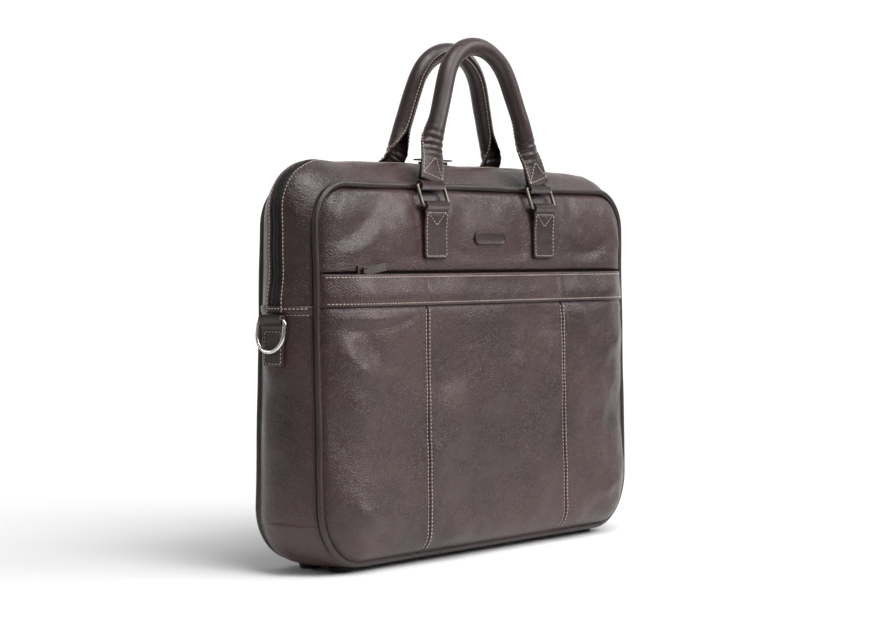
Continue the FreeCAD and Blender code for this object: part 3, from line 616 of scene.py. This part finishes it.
def wall_piece(
    name, out, low, high, material, thickness, left=None, right=None, sign=-1, margin=1.0, step=GRID
):
    """A piece of a wall. left and right give x at a height, or None for the wall's edge."""
    z = heights(low, high, step)
    width = 2 * HALF_WIDTH if left is None and right is None else 130
    u = np.linspace(0, 1, int(width / step) + 1)
    edge = half_width_at(z, margin)
    start = -edge if left is None else left(z)
    end = edge if right is None else right(z)
    x = start[:, None] + (end - start)[:, None] * u[None, :]
    zz = np.broadcast_to(z[:, None], x.shape)
    points = np.stack([x, sign * out(x, zz), zz], axis=-1)
    return shell(name, points, thickness, (0, sign, 0), material)


def gusset_at(s, part, t, depth=0.0, lively=True):
    """Points on the gusset and their ways out: s goes across it from -1 to 1, t along the named run."""
    s = np.asarray(s, float)
    rise = 1 - s * s
    half = GUSSET_HALF + BULGE * rise
    a = np.asarray(t, float) * 4 - 2
    side = np.sign(a) + (a == 0)
    a = np.abs(a)
    if part == "upper":
        radius, turn = TOP_RADIUS + 1 + 11 * rise, 0.5
    else:
        radius, turn = BOTTOM_RADIUS + 1 + 2 * rise, 0.4
    angle = np.clip(a - 1, 0, turn) / turn * math.pi / 2
    straight = np.clip(a, 0, 1)
    upright = np.clip(a - 1 - turn, 0, 1 - turn) / (1 - turn)
    x = side * ((half - radius) * straight + radius * np.sin(angle))
    nx = side * np.sin(angle)
    if part == "upper":
        top = GUSSET_TOP + DOME * rise
        z = top - radius + radius * np.cos(angle) - (top - radius - SEAM_Z) * upright
        nz = np.cos(angle)
    else:
        z = GUSSET_BOTTOM + radius - radius * np.cos(angle)
        z = z + (LAP_TOP - GUSSET_BOTTOM - radius) * upright
        nz = -np.cos(angle)
    out = gusset_life(s, part, x, z, rise) - depth if lively else -depth
    x = x + nx * out
    z = z + nz * out
    lean = np.tan(np.radians(1.25 * GUSSET_Y * s / WALL_Y))
    points = np.stack([x, GUSSET_Y * s + (WALL_TOP - z) * lean, z], axis=-1)
    ways = np.stack(np.broadcast_arrays(nx, 0.9 * s, nz), axis=-1)
    return points, ways


def gusset_life(s, part, x, z, rise):
    """How far the gusset's leather stands out: slack, wear, and the lap at its side seams."""
    across = GUSSET_Y * s
    slack = np.clip(rise, 0, 1)
    life = (2.2 * noise(x, across, z, 50, 31) + 0.9 * noise(x, across, z, 21, 32)) * slack
    if part == "upper":
        settle = ease((x - 60) / 115) * slack * ease((z - 250) / 40)
        return life * ease((np.hypot(x - SLIDERS_X, z - SLIDERS_Z) - 16) / 22) - 4.5 * settle
    clear = ease((np.hypot(z - D_RING_Z, 1.4 * across) - 24) / 20)
    return life * clear * np.where(z > 40, 1, 0.25) + 1.7 * ease((z - 200.6) / 2.5)


def gusset_piece(
    name, part, s_low, s_high, material, thickness, depth=0.0, folded=False, step=GRID, lively=True
):
    """A hoop of the gusset between two places across it, folded under beside the zip if asked."""
    count = max(4, int(abs(s_high - s_low) * GUSSET_Y / min(step, 1.3)) + 1)
    s = np.linspace(s_low, s_high, count)
    t = np.linspace(0, 1, int(RUN_LENGTHS[part] / step))
    ss, tt = np.meshgrid(s, t, indexing="xy")
    points, ways = gusset_at(ss, part, tt, depth, lively)
    if folded:
        flat = ways.copy()
        flat[..., 1] = 0
        points = points - flat * turned_edge((np.abs(ss) - ZIP_EDGE) * GUSSET_Y)[..., None]
    return shell(name, points, thickness, ways, material)


# ---- walls and pocket


def on_front(obj, *nodes, slot="leather"):
    """obj keeps its place, its transform baked into its mesh, and stands for those CAD nodes."""
    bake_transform(obj)
    declare(obj, nodes, slot)


def on_case(obj, *nodes, slot="leather"):
    """obj stays with the back half of the bag."""
    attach(obj, "case")
    declare(obj, nodes, slot)


def declare(obj, nodes, slot):
    """obj stands for CAD nodes, which are hidden; slot is not used."""
    if nodes:
        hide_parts(*nodes)


HALVES = (("front", -1, on_front), ("back", 1, on_case))


def band_out(x, z):
    """The band along the pocket's top."""
    lean = 1.8 * ease((z - 214) / 16)
    folds = turned_edge(z - BAND_BOTTOM) + turned_edge(BAND_TOP - z)
    return pocket_out(x, z) + 1.3 - lean - 0.8 * folds


def upper_out(x, z):
    """The upper panel, its lower edge folded under."""
    return panel_out(x, z) - 0.8 * turned_edge(z - UPPER_BOTTOM)


def under_band(x, z):
    """The pocket's panels, which go up behind the band and dip at their seams."""
    crease = 1.1 * bump(np.abs(x) - seam_line(z), 0.9)
    return pocket_out(x, z) - 1.1 * ease((z - 203) / 3.5) - crease


def back_out(x, z):
    """The back panel."""
    life = 0.9 * wall_life(x, z, UPPER_FOLDS + POCKET_FOLDS, 47) * tab_shelter(x, z)
    return wall_out(x, z, PANEL_BOW, PANEL_RUN) + life - 0.1 - groove(x, z)


def layer_out(depth):
    """A smooth layer that far inside the panels."""
    return lambda x, z: wall_out(x, z, PANEL_BOW, PANEL_RUN) - depth


upper = wall_piece("front_panel", upper_out, UPPER_BOTTOM, HIGH, LEATHER_SKIN, LEATHER)
on_front(upper, "front_panel_upper")
band = wall_piece("band", band_out, BAND_BOTTOM, BAND_TOP, LEATHER_SKIN, LEATHER, step=GRID * 0.7)
on_front(band, "pocket_band")
pocket_sides = (
    ("left", None, lambda z: -seam_line(z)),
    ("centre", lambda z: -seam_line(z), seam_line),
    ("right", seam_line, None),
)
for word, left, right in pocket_sides:
    panel = wall_piece("pocket_" + word, under_band, LOW, 209.0, LEATHER_SKIN, LEATHER, left, right)
    on_front(panel, "pocket_panel_" + word)
on_case(wall_piece("rear_panel", back_out, LOW, HIGH, LEATHER_SKIN, LEATHER, sign=1), "back_panel")

lining = wall_piece("pocket_lining", layer_out(3.3), LOW + 6, 233.0, LINING, 0.8, margin=5.5, step=COARSE)
on_front(lining, "pocket_back_wall", slot="lining_fabric")
for end, sign, place in HALVES:
    spacing = {"sign": sign, "step": COARSE}
    pad = wall_piece(end + "_padding", layer_out(4.7), LOW + 7, HIGH - 7, FOAM, 3.8, margin=8, **spacing)
    place(pad, end + "_foam", slot="foam")
    cloth = wall_piece(end + "_cloth", layer_out(9.0), LOW + 8, HIGH - 5, LINING, 0.7, margin=9, **spacing)
    place(cloth, end + "_lining", slot="lining_fabric")


# ---- piping and gusset


def outline_path(margin, y_out):
    """A closed path round the front wall's edge."""
    half, top, bottom = HALF_WIDTH - margin, WALL_TOP - margin, WALL_BOTTOM + margin
    rt, rb = TOP_RADIUS - margin * 0.3, BOTTOM_RADIUS - margin * 0.3
    corners = (
        (half - rt, top - rt, rt, 0),
        (-half + rt, top - rt, rt, 90),
        (-half + rb, bottom + rb, rb, 180),
        (half - rb, bottom + rb, rb, 270),
    )
    points = []
    for cx, cz, radius, start in corners:
        for angle in np.radians(np.linspace(start, start + 90, 24)):
            points.append((cx + radius * math.cos(angle), 0.0, cz + radius * math.sin(angle)))
    path = resample(np.array(points), 3.4, closed=True)
    x, z = path[:, 0], path[:, 2]
    path[:, 1] = -(WALL_Y + (WALL_TOP - z) * TILT) + y_out + 0.5 * noise(x, 0, z, 38, 61)
    path[:, 2] += 0.7 * noise(x, 7, z, 60, 62) * (z > 60)
    return path


for end, sign, place in HALVES:
    for word, margin, y_out, radius in (("welt", 0.8, -0.2, 2.7), ("binding", -0.6, 3.6, 1.5)):
        path = outline_path(margin, y_out)
        path[:, 1] *= -sign
        bar = round_bar("%s_%s" % (end, word), path, radius, (0, 1, 0), PIPING_PAINTED_SHADE_SKIN, closed=True)
        nodes = (end + "_piping",) if word == "welt" else ()
        place(bar, *nodes, slot="piping")

on_front(gusset_piece("side_gusset", "lower", -EDGE, EDGE, LEATHER_SKIN, LEATHER), "lower_gusset")
inner = gusset_piece("side_lining", "lower", -0.93, 0.93, LINING, 0.7, 4.3, step=COARSE, lively=False)
on_front(inner, "gusset_lining", slot="lining_fabric")


for end, sign, place in HALVES:
    low, high = sorted((sign * EDGE, sign * ZIP_EDGE))
    strip = gusset_piece(end + "_strip", "upper", low, high, LEATHER_SKIN, LEATHER, folded=True)
    place(strip, "upper_gusset_" + end)
    low, high = sorted((sign * TAPE_EDGE, sign * MIDDLE))
    tape = gusset_piece(end + "_tape", "upper", low, high, TAPE, 0.5, 2.0, step=GRID * 2)
    place(tape, "zip_tape_" + end, slot="zip_tape")
    t = np.linspace(0.003, 0.997, 460)
    shift = 0.0 if end == "front" else 0.5 * (t[1] - t[0])
    starts, ways = gusset_at(np.full_like(t, sign * 0.05 / GUSSET_Y), "upper", t + shift, 0.7)
    ends, _ = gusset_at(np.full_like(t, sign * 2.7 / GUSSET_Y), "upper", t + shift, 0.7)
    coil = Stitches()
    coil.bars(starts, ends, ways, 0.52)
    place(coil.make(end + "_coil", COIL), "zip_teeth_" + end, slot="zip_coil")


# ---- the pocket's zip

low, high = cad_box("pocket_zip_teeth")
middle = (low[2] + high[2]) / 2
zip_layer = layer_out(2.7)
tape = wall_piece("pocket_tape", zip_layer, middle - 9.5, middle + 8.0, TAPE, 0.4, margin=2.5, step=GRID * 2)
on_front(tape, "pocket_zip_tape", slot="zip_tape")
x = np.arange(4 - HALF_WIDTH, HALF_WIDTH - 4, 1.5)
coil = Stitches()
for side in (-1, 1):
    y = -zip_layer(x, middle + 0 * x) - 0.8
    starts = np.stack([x + 0.37 * side, y, 0 * x + middle + side * 0.1], axis=1)
    ends = starts + np.array([0, 0, side * 2.4])
    coil.bars(starts, ends, np.broadcast_to((0.0, -1.0, 0.0), starts.shape), 0.5)
on_front(coil.make("pocket_coil", COIL), "pocket_zip_teeth", slot="zip_coil")


# ---- straps: tabs, badge, handles


def rounded_span(half, count, size):
    """Places across a strap from -half to half, closer together at the edges."""
    inner = np.linspace(-(half - size), half - size, count)
    edge = half - size + size * np.sin(np.linspace(0.2, 1, 6) * math.pi / 2)
    return np.concatenate([-edge[::-1], inner, edge])


def strap_grid(half, low, high, step=1.2):
    """A strap end's grid of across and along places, and how far in from its edge each lies."""
    u = rounded_span(half, max(4, int(2 * half / step)), 1.4)
    foot = low + 1.4 * (1 - np.cos(np.linspace(0, 1, 7) * math.pi / 2))
    v = np.concatenate([foot, np.arange(low + 2.2, high, step), [high]])
    uu, vv = np.meshgrid(u, v)
    corner = 3.0
    pull = np.clip((corner - (vv - low)) / corner, 0, 1)
    uu = uu * (1 - (1 - np.sqrt(np.maximum(1 - pull**2, 0))) * corner / half)
    edge = np.minimum(half - np.abs(np.broadcast_to(u, uu.shape)), vv - low)
    return uu, vv, edge


def stitched_v(threads, place, half, row_v, apex_v, low, high, way):
    """The stitching of a strap's end: a row across, a V to a point, and rows down the edges."""
    u = half - 1.9
    threads.row([place(-u, row_v), place(u, row_v)], way, **FINE)
    for side in (-1, 1):
        threads.row([place(side * (u - 1.4), row_v), place(0, apex_v)], way, **FINE)
    for side in (-1, 1):
        line = [place(side * u, v) for v in np.linspace(low, high, 14)]
        threads.row(line, way, **SMALL)


FINE = {"pitch": 2.7, "length": 1.95, "radius": 0.42}
SMALL = {"pitch": 2.9, "length": 2.1, "radius": 0.42}
FRONT_THREAD, CASE_THREAD = Stitches(), Stitches()
ring_low, ring_high = cad_box("front_ring_left")
RING_WIRE = 1.5
BAR_Y = -(ring_low[1] + RING_WIRE)
BAR_Z = ring_low[2] + RING_WIRE
UPPER_BAR_Y = -(ring_high[1] - RING_WIRE)
UPPER_BAR_Z = ring_high[2] - RING_WIRE
TAB_HALF, TAB_LOW, TAB_NECK, STRAP = 14.0, 243.7, 281.0, 2.8


def loop_round(name, x_low, x_high, y, z, inner, outer, material, along=0):
    """A strap's turn round a bar: a short tube along x, or along y, with eased rims."""
    size = 0.9
    across = np.array([0, 0.1, 0.35, 1.0, 1.0, 1.0, 1.0, 0.35, 0.1, 0]) * size
    across[5:] = (x_high - x_low) - across[5:]
    grow = np.array([0, 0.55, 0.85, 1.0, 1.0, 1.0, 1.0, 0.85, 0.55, 0]) * size - size
    rims = [(step, outer + rise) for step, rise in zip(across, grow)]
    rims += [(x_high - x_low, inner), (0.0, inner)]
    rings = np.array(
        [
            [(x_low + step, y + radius * math.cos(t), z + radius * math.sin(t)) for t in circle(40)]
            for step, radius in rims
        ]
    )
    if along == 1:
        rings = rings[..., [1, 0, 2]]
    index = np.arange(rings.shape[0] * 40).reshape(-1, 40)
    nxt = np.roll(index, -1, axis=0)
    faces = np.stack([index, np.roll(index, -1, axis=1), np.roll(nxt, -1, axis=1), nxt], axis=-1)
    return add_mesh(name, rings.reshape(-1, 3), faces.reshape(-1, 4).tolist(), material)


def tab(name, cx, sign, threads):
    """A handle tab: a strap sewn flat to the wall, its top folded round the ring's lower bar."""
    wall = panel_out if sign < 0 else back_out
    uu, vv, edge = strap_grid(TAB_HALF, TAB_LOW, BAR_Z + 0.5)
    lie = wall(cx + uu, vv) + STRAP + 0.25
    hang = BAR_Y + STRAP / 2 + 0.3
    share = ease((vv - TAB_NECK + 19) / 18)
    puff = 0.5 * bump(vv - TAB_NECK + 5, 3.5) * bump(uu, 4.5) + 0.6 * ease((vv - TAB_NECK - 1.3) / 1.2)
    y = lie * (1 - share) + hang * share + puff - turned_edge(edge, 1.2)
    y = y - 0.35 * bump(vv - TAB_NECK, 0.9) + 0.12 * noise(cx + uu, y, vv, 5, 83)
    strap = shell(name, np.stack([cx + uu, sign * y, vv], axis=-1), STRAP, (0, sign, 0), EDGE_SKIN)

    def place(u, v):
        row = np.argmin(np.abs(vv[:, 0] - v))
        return cx + u, sign * float(np.interp(u, uu[row], y[row])), v

    row_v, apex_v, top_v = TAB_NECK - 0.4, TAB_NECK - 10.5, TAB_NECK - 1
    stitched_v(threads, place, TAB_HALF, row_v, apex_v, TAB_LOW + 2.0, top_v, (0, sign, 0))
    bottom = [place(u, TAB_LOW + 2.0) for u in np.linspace(2.2 - TAB_HALF, TAB_HALF - 2.2, 8)]
    threads.row(bottom, (0, sign, 0), **SMALL)
    low, high = cx - TAB_HALF, cx + TAB_HALF
    loop = loop_round(name + "_loop", low, high, sign * BAR_Y, BAR_Z, 1.8, 3.9, EDGE_SKIN)
    return strap, loop


for end, sign, place in HALVES:
    threads = FRONT_THREAD if end == "front" else CASE_THREAD
    for word, side in (("left", -1), ("right", 1)):
        strap, loop = tab("%s_strap_%s" % (end, word), side * RING_X, sign, threads)
        place(strap, "%s_tab_%s" % (end, word))
        place(loop)


def badge():
    """A blank lozenge with a raised rim."""
    low, high = cad_box("badge")
    middle = (low[2] + high[2]) / 2
    full = (high[2] - low[2]) / 2
    straight = (high[0] - low[0]) / 2 - full
    insets = (0, 0.05, 0.3, 0.7, 1.1, 1.5, 1.9, 4.9)
    rises = (0.5, -0.7, -1.25, -1.45, -1.2, -0.35, -0.15, -0.3)
    angle = circle(72)
    ends = straight * np.sign(np.cos(angle)) * (np.abs(np.cos(angle)) > 1e-6)
    rings = []
    for inset, rise in zip(insets, rises):
        radius = full - inset
        x = radius * np.cos(angle) + ends
        rings.append(np.stack([x, 0 * x + high[1] + rise, middle + radius * np.sin(angle)], axis=1))
    return tube("blank_badge", np.array(rings), EDGE_SKIN)


on_front(badge(), "badge", slot="badge_leather")


D_BAR_X = 217.0


def d_tab(name, side):
    """A D-ring tab: a strap down the gusset with its top folded round the ring's bar."""
    low, high = cad_box("d_tab_left")
    half = (high[1] - low[1]) / 2
    bar_z = high[2] - 3.2
    uu, vv, edge = strap_grid(half, low[2], bar_z + 1.0)
    uu = uu * (1 - 0.10 * ease((bar_z - 8 - vv) / 26))
    x = -high[0] + STRAP - 0.35 - turned_edge(edge, 1.2) + 1.3 * ease((vv - (bar_z - 7)) / 2)
    x = x + 0.1 * noise(x, uu, vv, 5, 91) - 0.3 * bump(vv - (bar_z - 9), 0.9)
    strap = shell(name, np.stack([side * x, uu, vv], axis=-1), STRAP, (side, 0, 0), EDGE_SKIN)

    def place(u, v):
        row = np.argmin(np.abs(vv[:, 0] - v))
        return side * float(np.interp(u, uu[row], x[row])), u, v

    way = (side, 0, 0)
    for cross in (bar_z - 9.0, low[2] + 2.0):
        CASE_THREAD.row([place(u, cross) for u in np.linspace(-8.6, 8.6, 8)], way, **SMALL)
    for edge_side in (-1, 1):
        line = [place(edge_side * (half * 0.9 - 1.8), v) for v in np.linspace(low[2] + 2, bar_z - 9, 10)]
        CASE_THREAD.row(line, way, **SMALL)
    loop = loop_round(name + "_loop", -half, half, side * D_BAR_X, bar_z, 1.8, 3.9, EDGE_SKIN, along=1)
    return strap, loop


for word, side in (("left", -1), ("right", 1)):
    strap, loop = d_tab("d_strap_" + word, side)
    on_case(strap, "d_tab_" + word)
    on_case(loop)


# each handle is one strap rolled into a tube; for each place along it from the ring's bar:
# its width, how far it is rolled, its thickness, and how far its outer face stands out
ALONG = (2.5, 14.0, 24.0, 33.0, 44.0, 56.0)
WIDTHS = (27.6, 27.4, 28.0, 31.0, 39.0, 46.3)
ROLLS = (0.03, 0.22, 0.95, 2.35, 4.7, 6.20)
THICKS = (5.6, 3.6, 3.0, 2.4, 1.9, 1.8)
STANDS = (2.9, 2.4, 3.2, 4.6, 6.6, 7.4)
NEAR_EDGE = np.array([0.95, 0.975, 0.992, 1.0])
TURNS = np.concatenate([-NEAR_EDGE[::-1], np.linspace(-0.92, 0.92, 56), NEAR_EDGE])
ARCH, FOOT_X, FOOT_V = 44.0, 60.0, 42.0


def handle_line(apex_along):
    """The handle's centre line in its own plane: across and along, from one ring to the other."""
    centre = apex_along - ARCH
    leg = [(RING_X, 2.5), (69.4, 8.0), (67.8, 14.0), (65.8, 22.0), (63.4, 31.0), (FOOT_X, FOOT_V)]
    rise = centre - FOOT_V
    reach = math.hypot(FOOT_X, rise)
    touch = math.acos(ARCH / reach) - math.atan2(rise, FOOT_X)
    angles = np.linspace(touch, math.pi - touch, 60)
    arch = [(ARCH * math.cos(a), centre + ARCH * math.sin(a)) for a in angles]
    line = leg + arch + [(-u, v) for u, v in reversed(leg)]
    line = np.array([(u, 0.0, v) for u, v in line])
    return relax(resample(line, 1.0), 30)


def stand_up(sign, lean, tube_lean, reach):
    """Places along a handle's leg, and where each stands: y, z and the lean there."""
    v = np.linspace(0, reach, 1200)
    angle = np.radians(lean + (tube_lean - lean) * ease((v - 24) / 14))
    step = v[1] - v[0]
    y = sign * (UPPER_BAR_Y - np.concatenate([[0], np.cumsum(np.sin(angle[:-1]) * step)]))
    z = UPPER_BAR_Z + np.concatenate([[0], np.cumsum(np.cos(angle[:-1]) * step)])
    return v, y, z, angle


def handle_frame(sign, lean, tube_lean, reach):
    """A handle's flat line, its centre line in space, and its side and outward ways."""
    line = handle_line(reach)
    places, y, z, leans = stand_up(sign, lean, tube_lean, reach + 4)
    v = line[:, 2]
    centre = np.stack([line[:, 0], np.interp(v, places, y), np.interp(v, places, z)], axis=1)
    angle = np.interp(v, places, leans)
    out = np.stack([0 * angle, sign * np.cos(angle), np.sin(angle)], axis=1)
    tangent = unit(np.gradient(centre, axis=0))
    out = unit(out - tangent * np.sum(out * tangent, axis=1, keepdims=True))
    return line[:, 0], v, centre, np.cross(tangent, out), out


def rolled(v, *rows):
    """The strap's measures at each place along it, eased."""
    run = np.minimum(v, 60.0)
    return (relax(np.interp(run, ALONG, row)[:, None], 12) for row in rows)


def handle(end, sign, lean, tube_lean, reach):
    """A handle: the rolled strap, its turns round the rings' upper bars, and its stitches."""
    u, v, centre, side, out = handle_frame(sign, lean, tube_lean, reach)
    width, roll, thick, stand = rolled(v, WIDTHS, ROLLS, THICKS, STANDS)
    radius = width / roll
    swing = roll / 2 * TURNS
    wear = noise(centre[:, :1], centre[:, 1:2] + radius.clip(0, 9) * swing, centre[:, 2:], 17, 95)
    dent = 0.18 * wear + 0.25 * noise(u, 0, v, 30, 96)[:, None]
    ripple = np.sin(v[:, None] * 1.15 + 3.0 * wear + 2 * TURNS)
    rim = turned_edge((1 - np.abs(TURNS)) * width / 2, 1.1)
    surface = radius + dent + 0.45 * bump(v - 33, 9)[:, None] * ripple - rim
    across = surface * np.sin(swing)
    forward = stand - radius + surface * np.cos(swing)
    side, out = side[:, None, :], out[:, None, :]
    points = centre[:, None, :] + across[..., None] * side + forward[..., None] * out
    ways = np.sin(swing)[..., None] * side + np.cos(swing)[..., None] * out
    skin = shell(end + "_sleeve", points, thick[..., None], ways, HANDLE_SKIN)
    threads = Stitches()
    inset = 1 - 2 * 1.9 / width[:, 0]
    for edge_side in (-1, 1):
        column = np.array([np.argmin(np.abs(TURNS - edge_side * share)) for share in inset])
        rows = np.arange(len(column))
        smooth = relax(points[rows, column], 20)
        way = ways[rows, column]
        threads.row(smooth[4:-4], way[4:-4], pitch=3.0, length=2.2, lift=0.25)
    for leg in (1, -1):
        rows = np.where(u * leg > 40)[0]

        def place(place_u, place_v):
            row = rows[np.argmin(np.abs(v[rows] - place_v))]
            return points[row, np.argmin(np.abs(across[row] - place_u))]

        way = tuple(out[rows[np.argmin(np.abs(v[rows] - 12))], 0])
        half = 11.6
        threads.row([place(-half, 7.5), place(0, 7.5), place(half, 7.5)], way, lift=0.2, **FINE)
        for edge_side in (-1, 1):
            line = [place(edge_side * half * (1 - k / 6), 7.5 + k * 2.4) for k in range(7)]
            threads.row(line, way, lift=0.25, **FINE)
    loops = []
    for word, cx in (("left", -RING_X), ("right", RING_X)):
        name = "%s_turn_%s" % (end, word)
        bar_y = sign * UPPER_BAR_Y
        loops.append(loop_round(name, cx - 13.8, cx + 13.8, bar_y, UPPER_BAR_Z, 1.8, 4.2, HANDLE_SKIN))
    tubed = v > 53
    core = round_bar(end + "_rope", centre[tubed], 5.2, out[tubed, 0], FOAM)
    return skin, loops, threads.make(end + "_handle_thread", THREAD), core


for end, sign, lean, tube_lean, reach in (("front", -1, 5.5, 5.5, 117.2), ("back", 1, 45.0, 5.0, 123.0)):
    skin, loops, threads, core = handle(end, sign, lean, tube_lean, reach)
    for obj in [skin, threads, core] + loops:
        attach(obj, end + "_handle")
    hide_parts(end + "_handle_sleeve")
    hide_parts(end + "_handle_core")


# ---- stitching on the bag


def wall_row(out, x, z):
    """A row of stitches over the front wall."""
    x, z = np.broadcast_arrays(x, z)
    FRONT_THREAD.row(np.stack([x, -out(x, z), z], axis=1), (0, -1, 0))


def gusset_row(threads, part, s, t):
    """A row of stitches over the gusset."""
    s, t = np.broadcast_arrays(s, t)
    path, ways = gusset_at(s, part, t)
    threads.row(path, ways)


across = np.linspace(-193, 193, 300)
wall_row(band_out, across, BAND_TOP - 2.6)
wall_row(band_out, across, BAND_BOTTOM + 2.4)
up = np.linspace(13, 204, 150)
for side in (-1, 1):
    for offset in (-2.1, 2.1):
        wall_row(under_band, side * (seam_line(up) + offset), up)
edge_at = (5.0 + 1.9) / GUSSET_Y
along = np.linspace(0.001, 0.999, 900)
gusset_row(FRONT_THREAD, "upper", -edge_at, along)
gusset_row(CASE_THREAD, "upper", edge_at, along)


def lap_rows():
    """Two rows across each side where the gusset's pieces lap."""
    t = np.linspace(0, 0.08, 400)
    points, _ = gusset_at(np.zeros_like(t), "lower", t)
    for height in (205.7, 200.9):
        share = t[np.argmin(np.abs(points[:, 2] - height))]
        for end in (share, 1 - share):
            gusset_row(FRONT_THREAD, "lower", np.linspace(-0.96, 0.96, 50), end)


lap_rows()
on_front(FRONT_THREAD.make("front_thread", THREAD))
on_case(CASE_THREAD.make("case_thread", THREAD))


# ---- what the CAD shows as it is


FINISHES = (
    ("d_ring", NICKEL),
    ("front_ring", ANTIQUE),
    ("back_ring", ANTIQUE),
    ("main_", GUNMETAL),
    ("pocket_zip_slider", ANTIQUE),
    ("pocket_zip_pull", ANTIQUE),
    ("foot_", FOOT),
    ("base_board", BOARD),
)
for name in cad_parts:
    for start, material in FINISHES:
        if name.startswith(start):
            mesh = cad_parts[name].data
            mesh.materials.clear()
            mesh.materials.append(material)


# ---- light, floor and camera


def lamp(name, kind, place, target, power, **settings):
    """A lamp aimed at a point."""
    light = bpy.data.lights.new(name, kind)
    light.energy = power
    for word, value in settings.items():
        setattr(light, word, value)
    obj = bpy.data.objects.new(name, light)
    obj.location = place
    obj.rotation_euler = (Vector(target) - Vector(place)).to_track_quat("-Z", "Y").to_euler()
    bpy.context.scene.collection.objects.link(obj)


lamp("key", "SUN", (0, 0, 0), (0.1, 1.0, -1.15), 1.15, angle=math.radians(30))
lamp("softbox", "AREA", (0.95, -1.78, 1.1), (-0.05, 0, 0.2), 20, size=0.95)
lamp("high", "AREA", (1.3, -1.05, 1.55), (0, 0, 0.25), 11, size=0.7)
lamp("overhead", "AREA", (-0.3, -0.6, 1.9), (0, 0, 0.3), 16, size=0.8)
lamp("side", "AREA", (-1.5, 1.3, 0.8), (0, 0, 0.2), 3.5, size=0.35)


def studio_world():
    """A world seen as white all round, that lights the object mainly from behind it."""
    made = bpy.data.worlds.new("studio")
    m = Nodes(made)
    behind = (math.sin(VIEW_TURN), math.cos(VIEW_TURN), 0)
    toward = m.maths("DOT_PRODUCT", m.direction, behind, "VectorMath", 1)
    seen = m.add("LightPath").outputs["Is Camera Ray"]
    background = m.tree.nodes["Background"]
    background.inputs["Color"].default_value = (1.0, 1.0, 1.0, 1.0)
    m.link(m.maths("MAXIMUM", m.ramp(toward, 0.35, 0.93, 0.20, 1.1), seen), background.inputs["Strength"])
    return made


def floor_paint():
    """A pale matt floor that thins out to the white world away from the middle."""
    m = Nodes(bpy.data.materials.new("pale_floor"))
    away = m.maths("LENGTH", m.place, (0, 0, 0), "VectorMath", 1)
    return m.done((0.93, 0.93, 0.93, 1.0), 0.9, Alpha=m.ramp(away, 0.32, 1.0, 1.0, 0.0))


VIEW_TURN, VIEW_TIP = math.radians(50), math.radians(1.58)
bpy.context.scene.world = studio_world()
bpy.context.scene.view_settings.view_transform = "Standard"

bpy.ops.mesh.primitive_plane_add(size=8.0)
floor = bpy.context.object
floor.name = "floor"
floor.data.materials.append(floor_paint())

lens = bpy.data.cameras.new("camera")
lens.lens = 86.8
lens.sensor_width = 36.0
camera = bpy.data.objects.new("camera", lens)
camera.location = (-1.378, -1.144, 0.2497)
level = math.cos(VIEW_TIP)
looking = Vector((math.sin(VIEW_TURN) * level, math.cos(VIEW_TURN) * level, -math.sin(VIEW_TIP)))
camera.rotation_euler = looking.to_track_quat("-Z", "Y").to_euler()
bpy.context.scene.collection.objects.link(camera)
bpy.context.scene.camera = camera

bpy.context.view_layer.update()
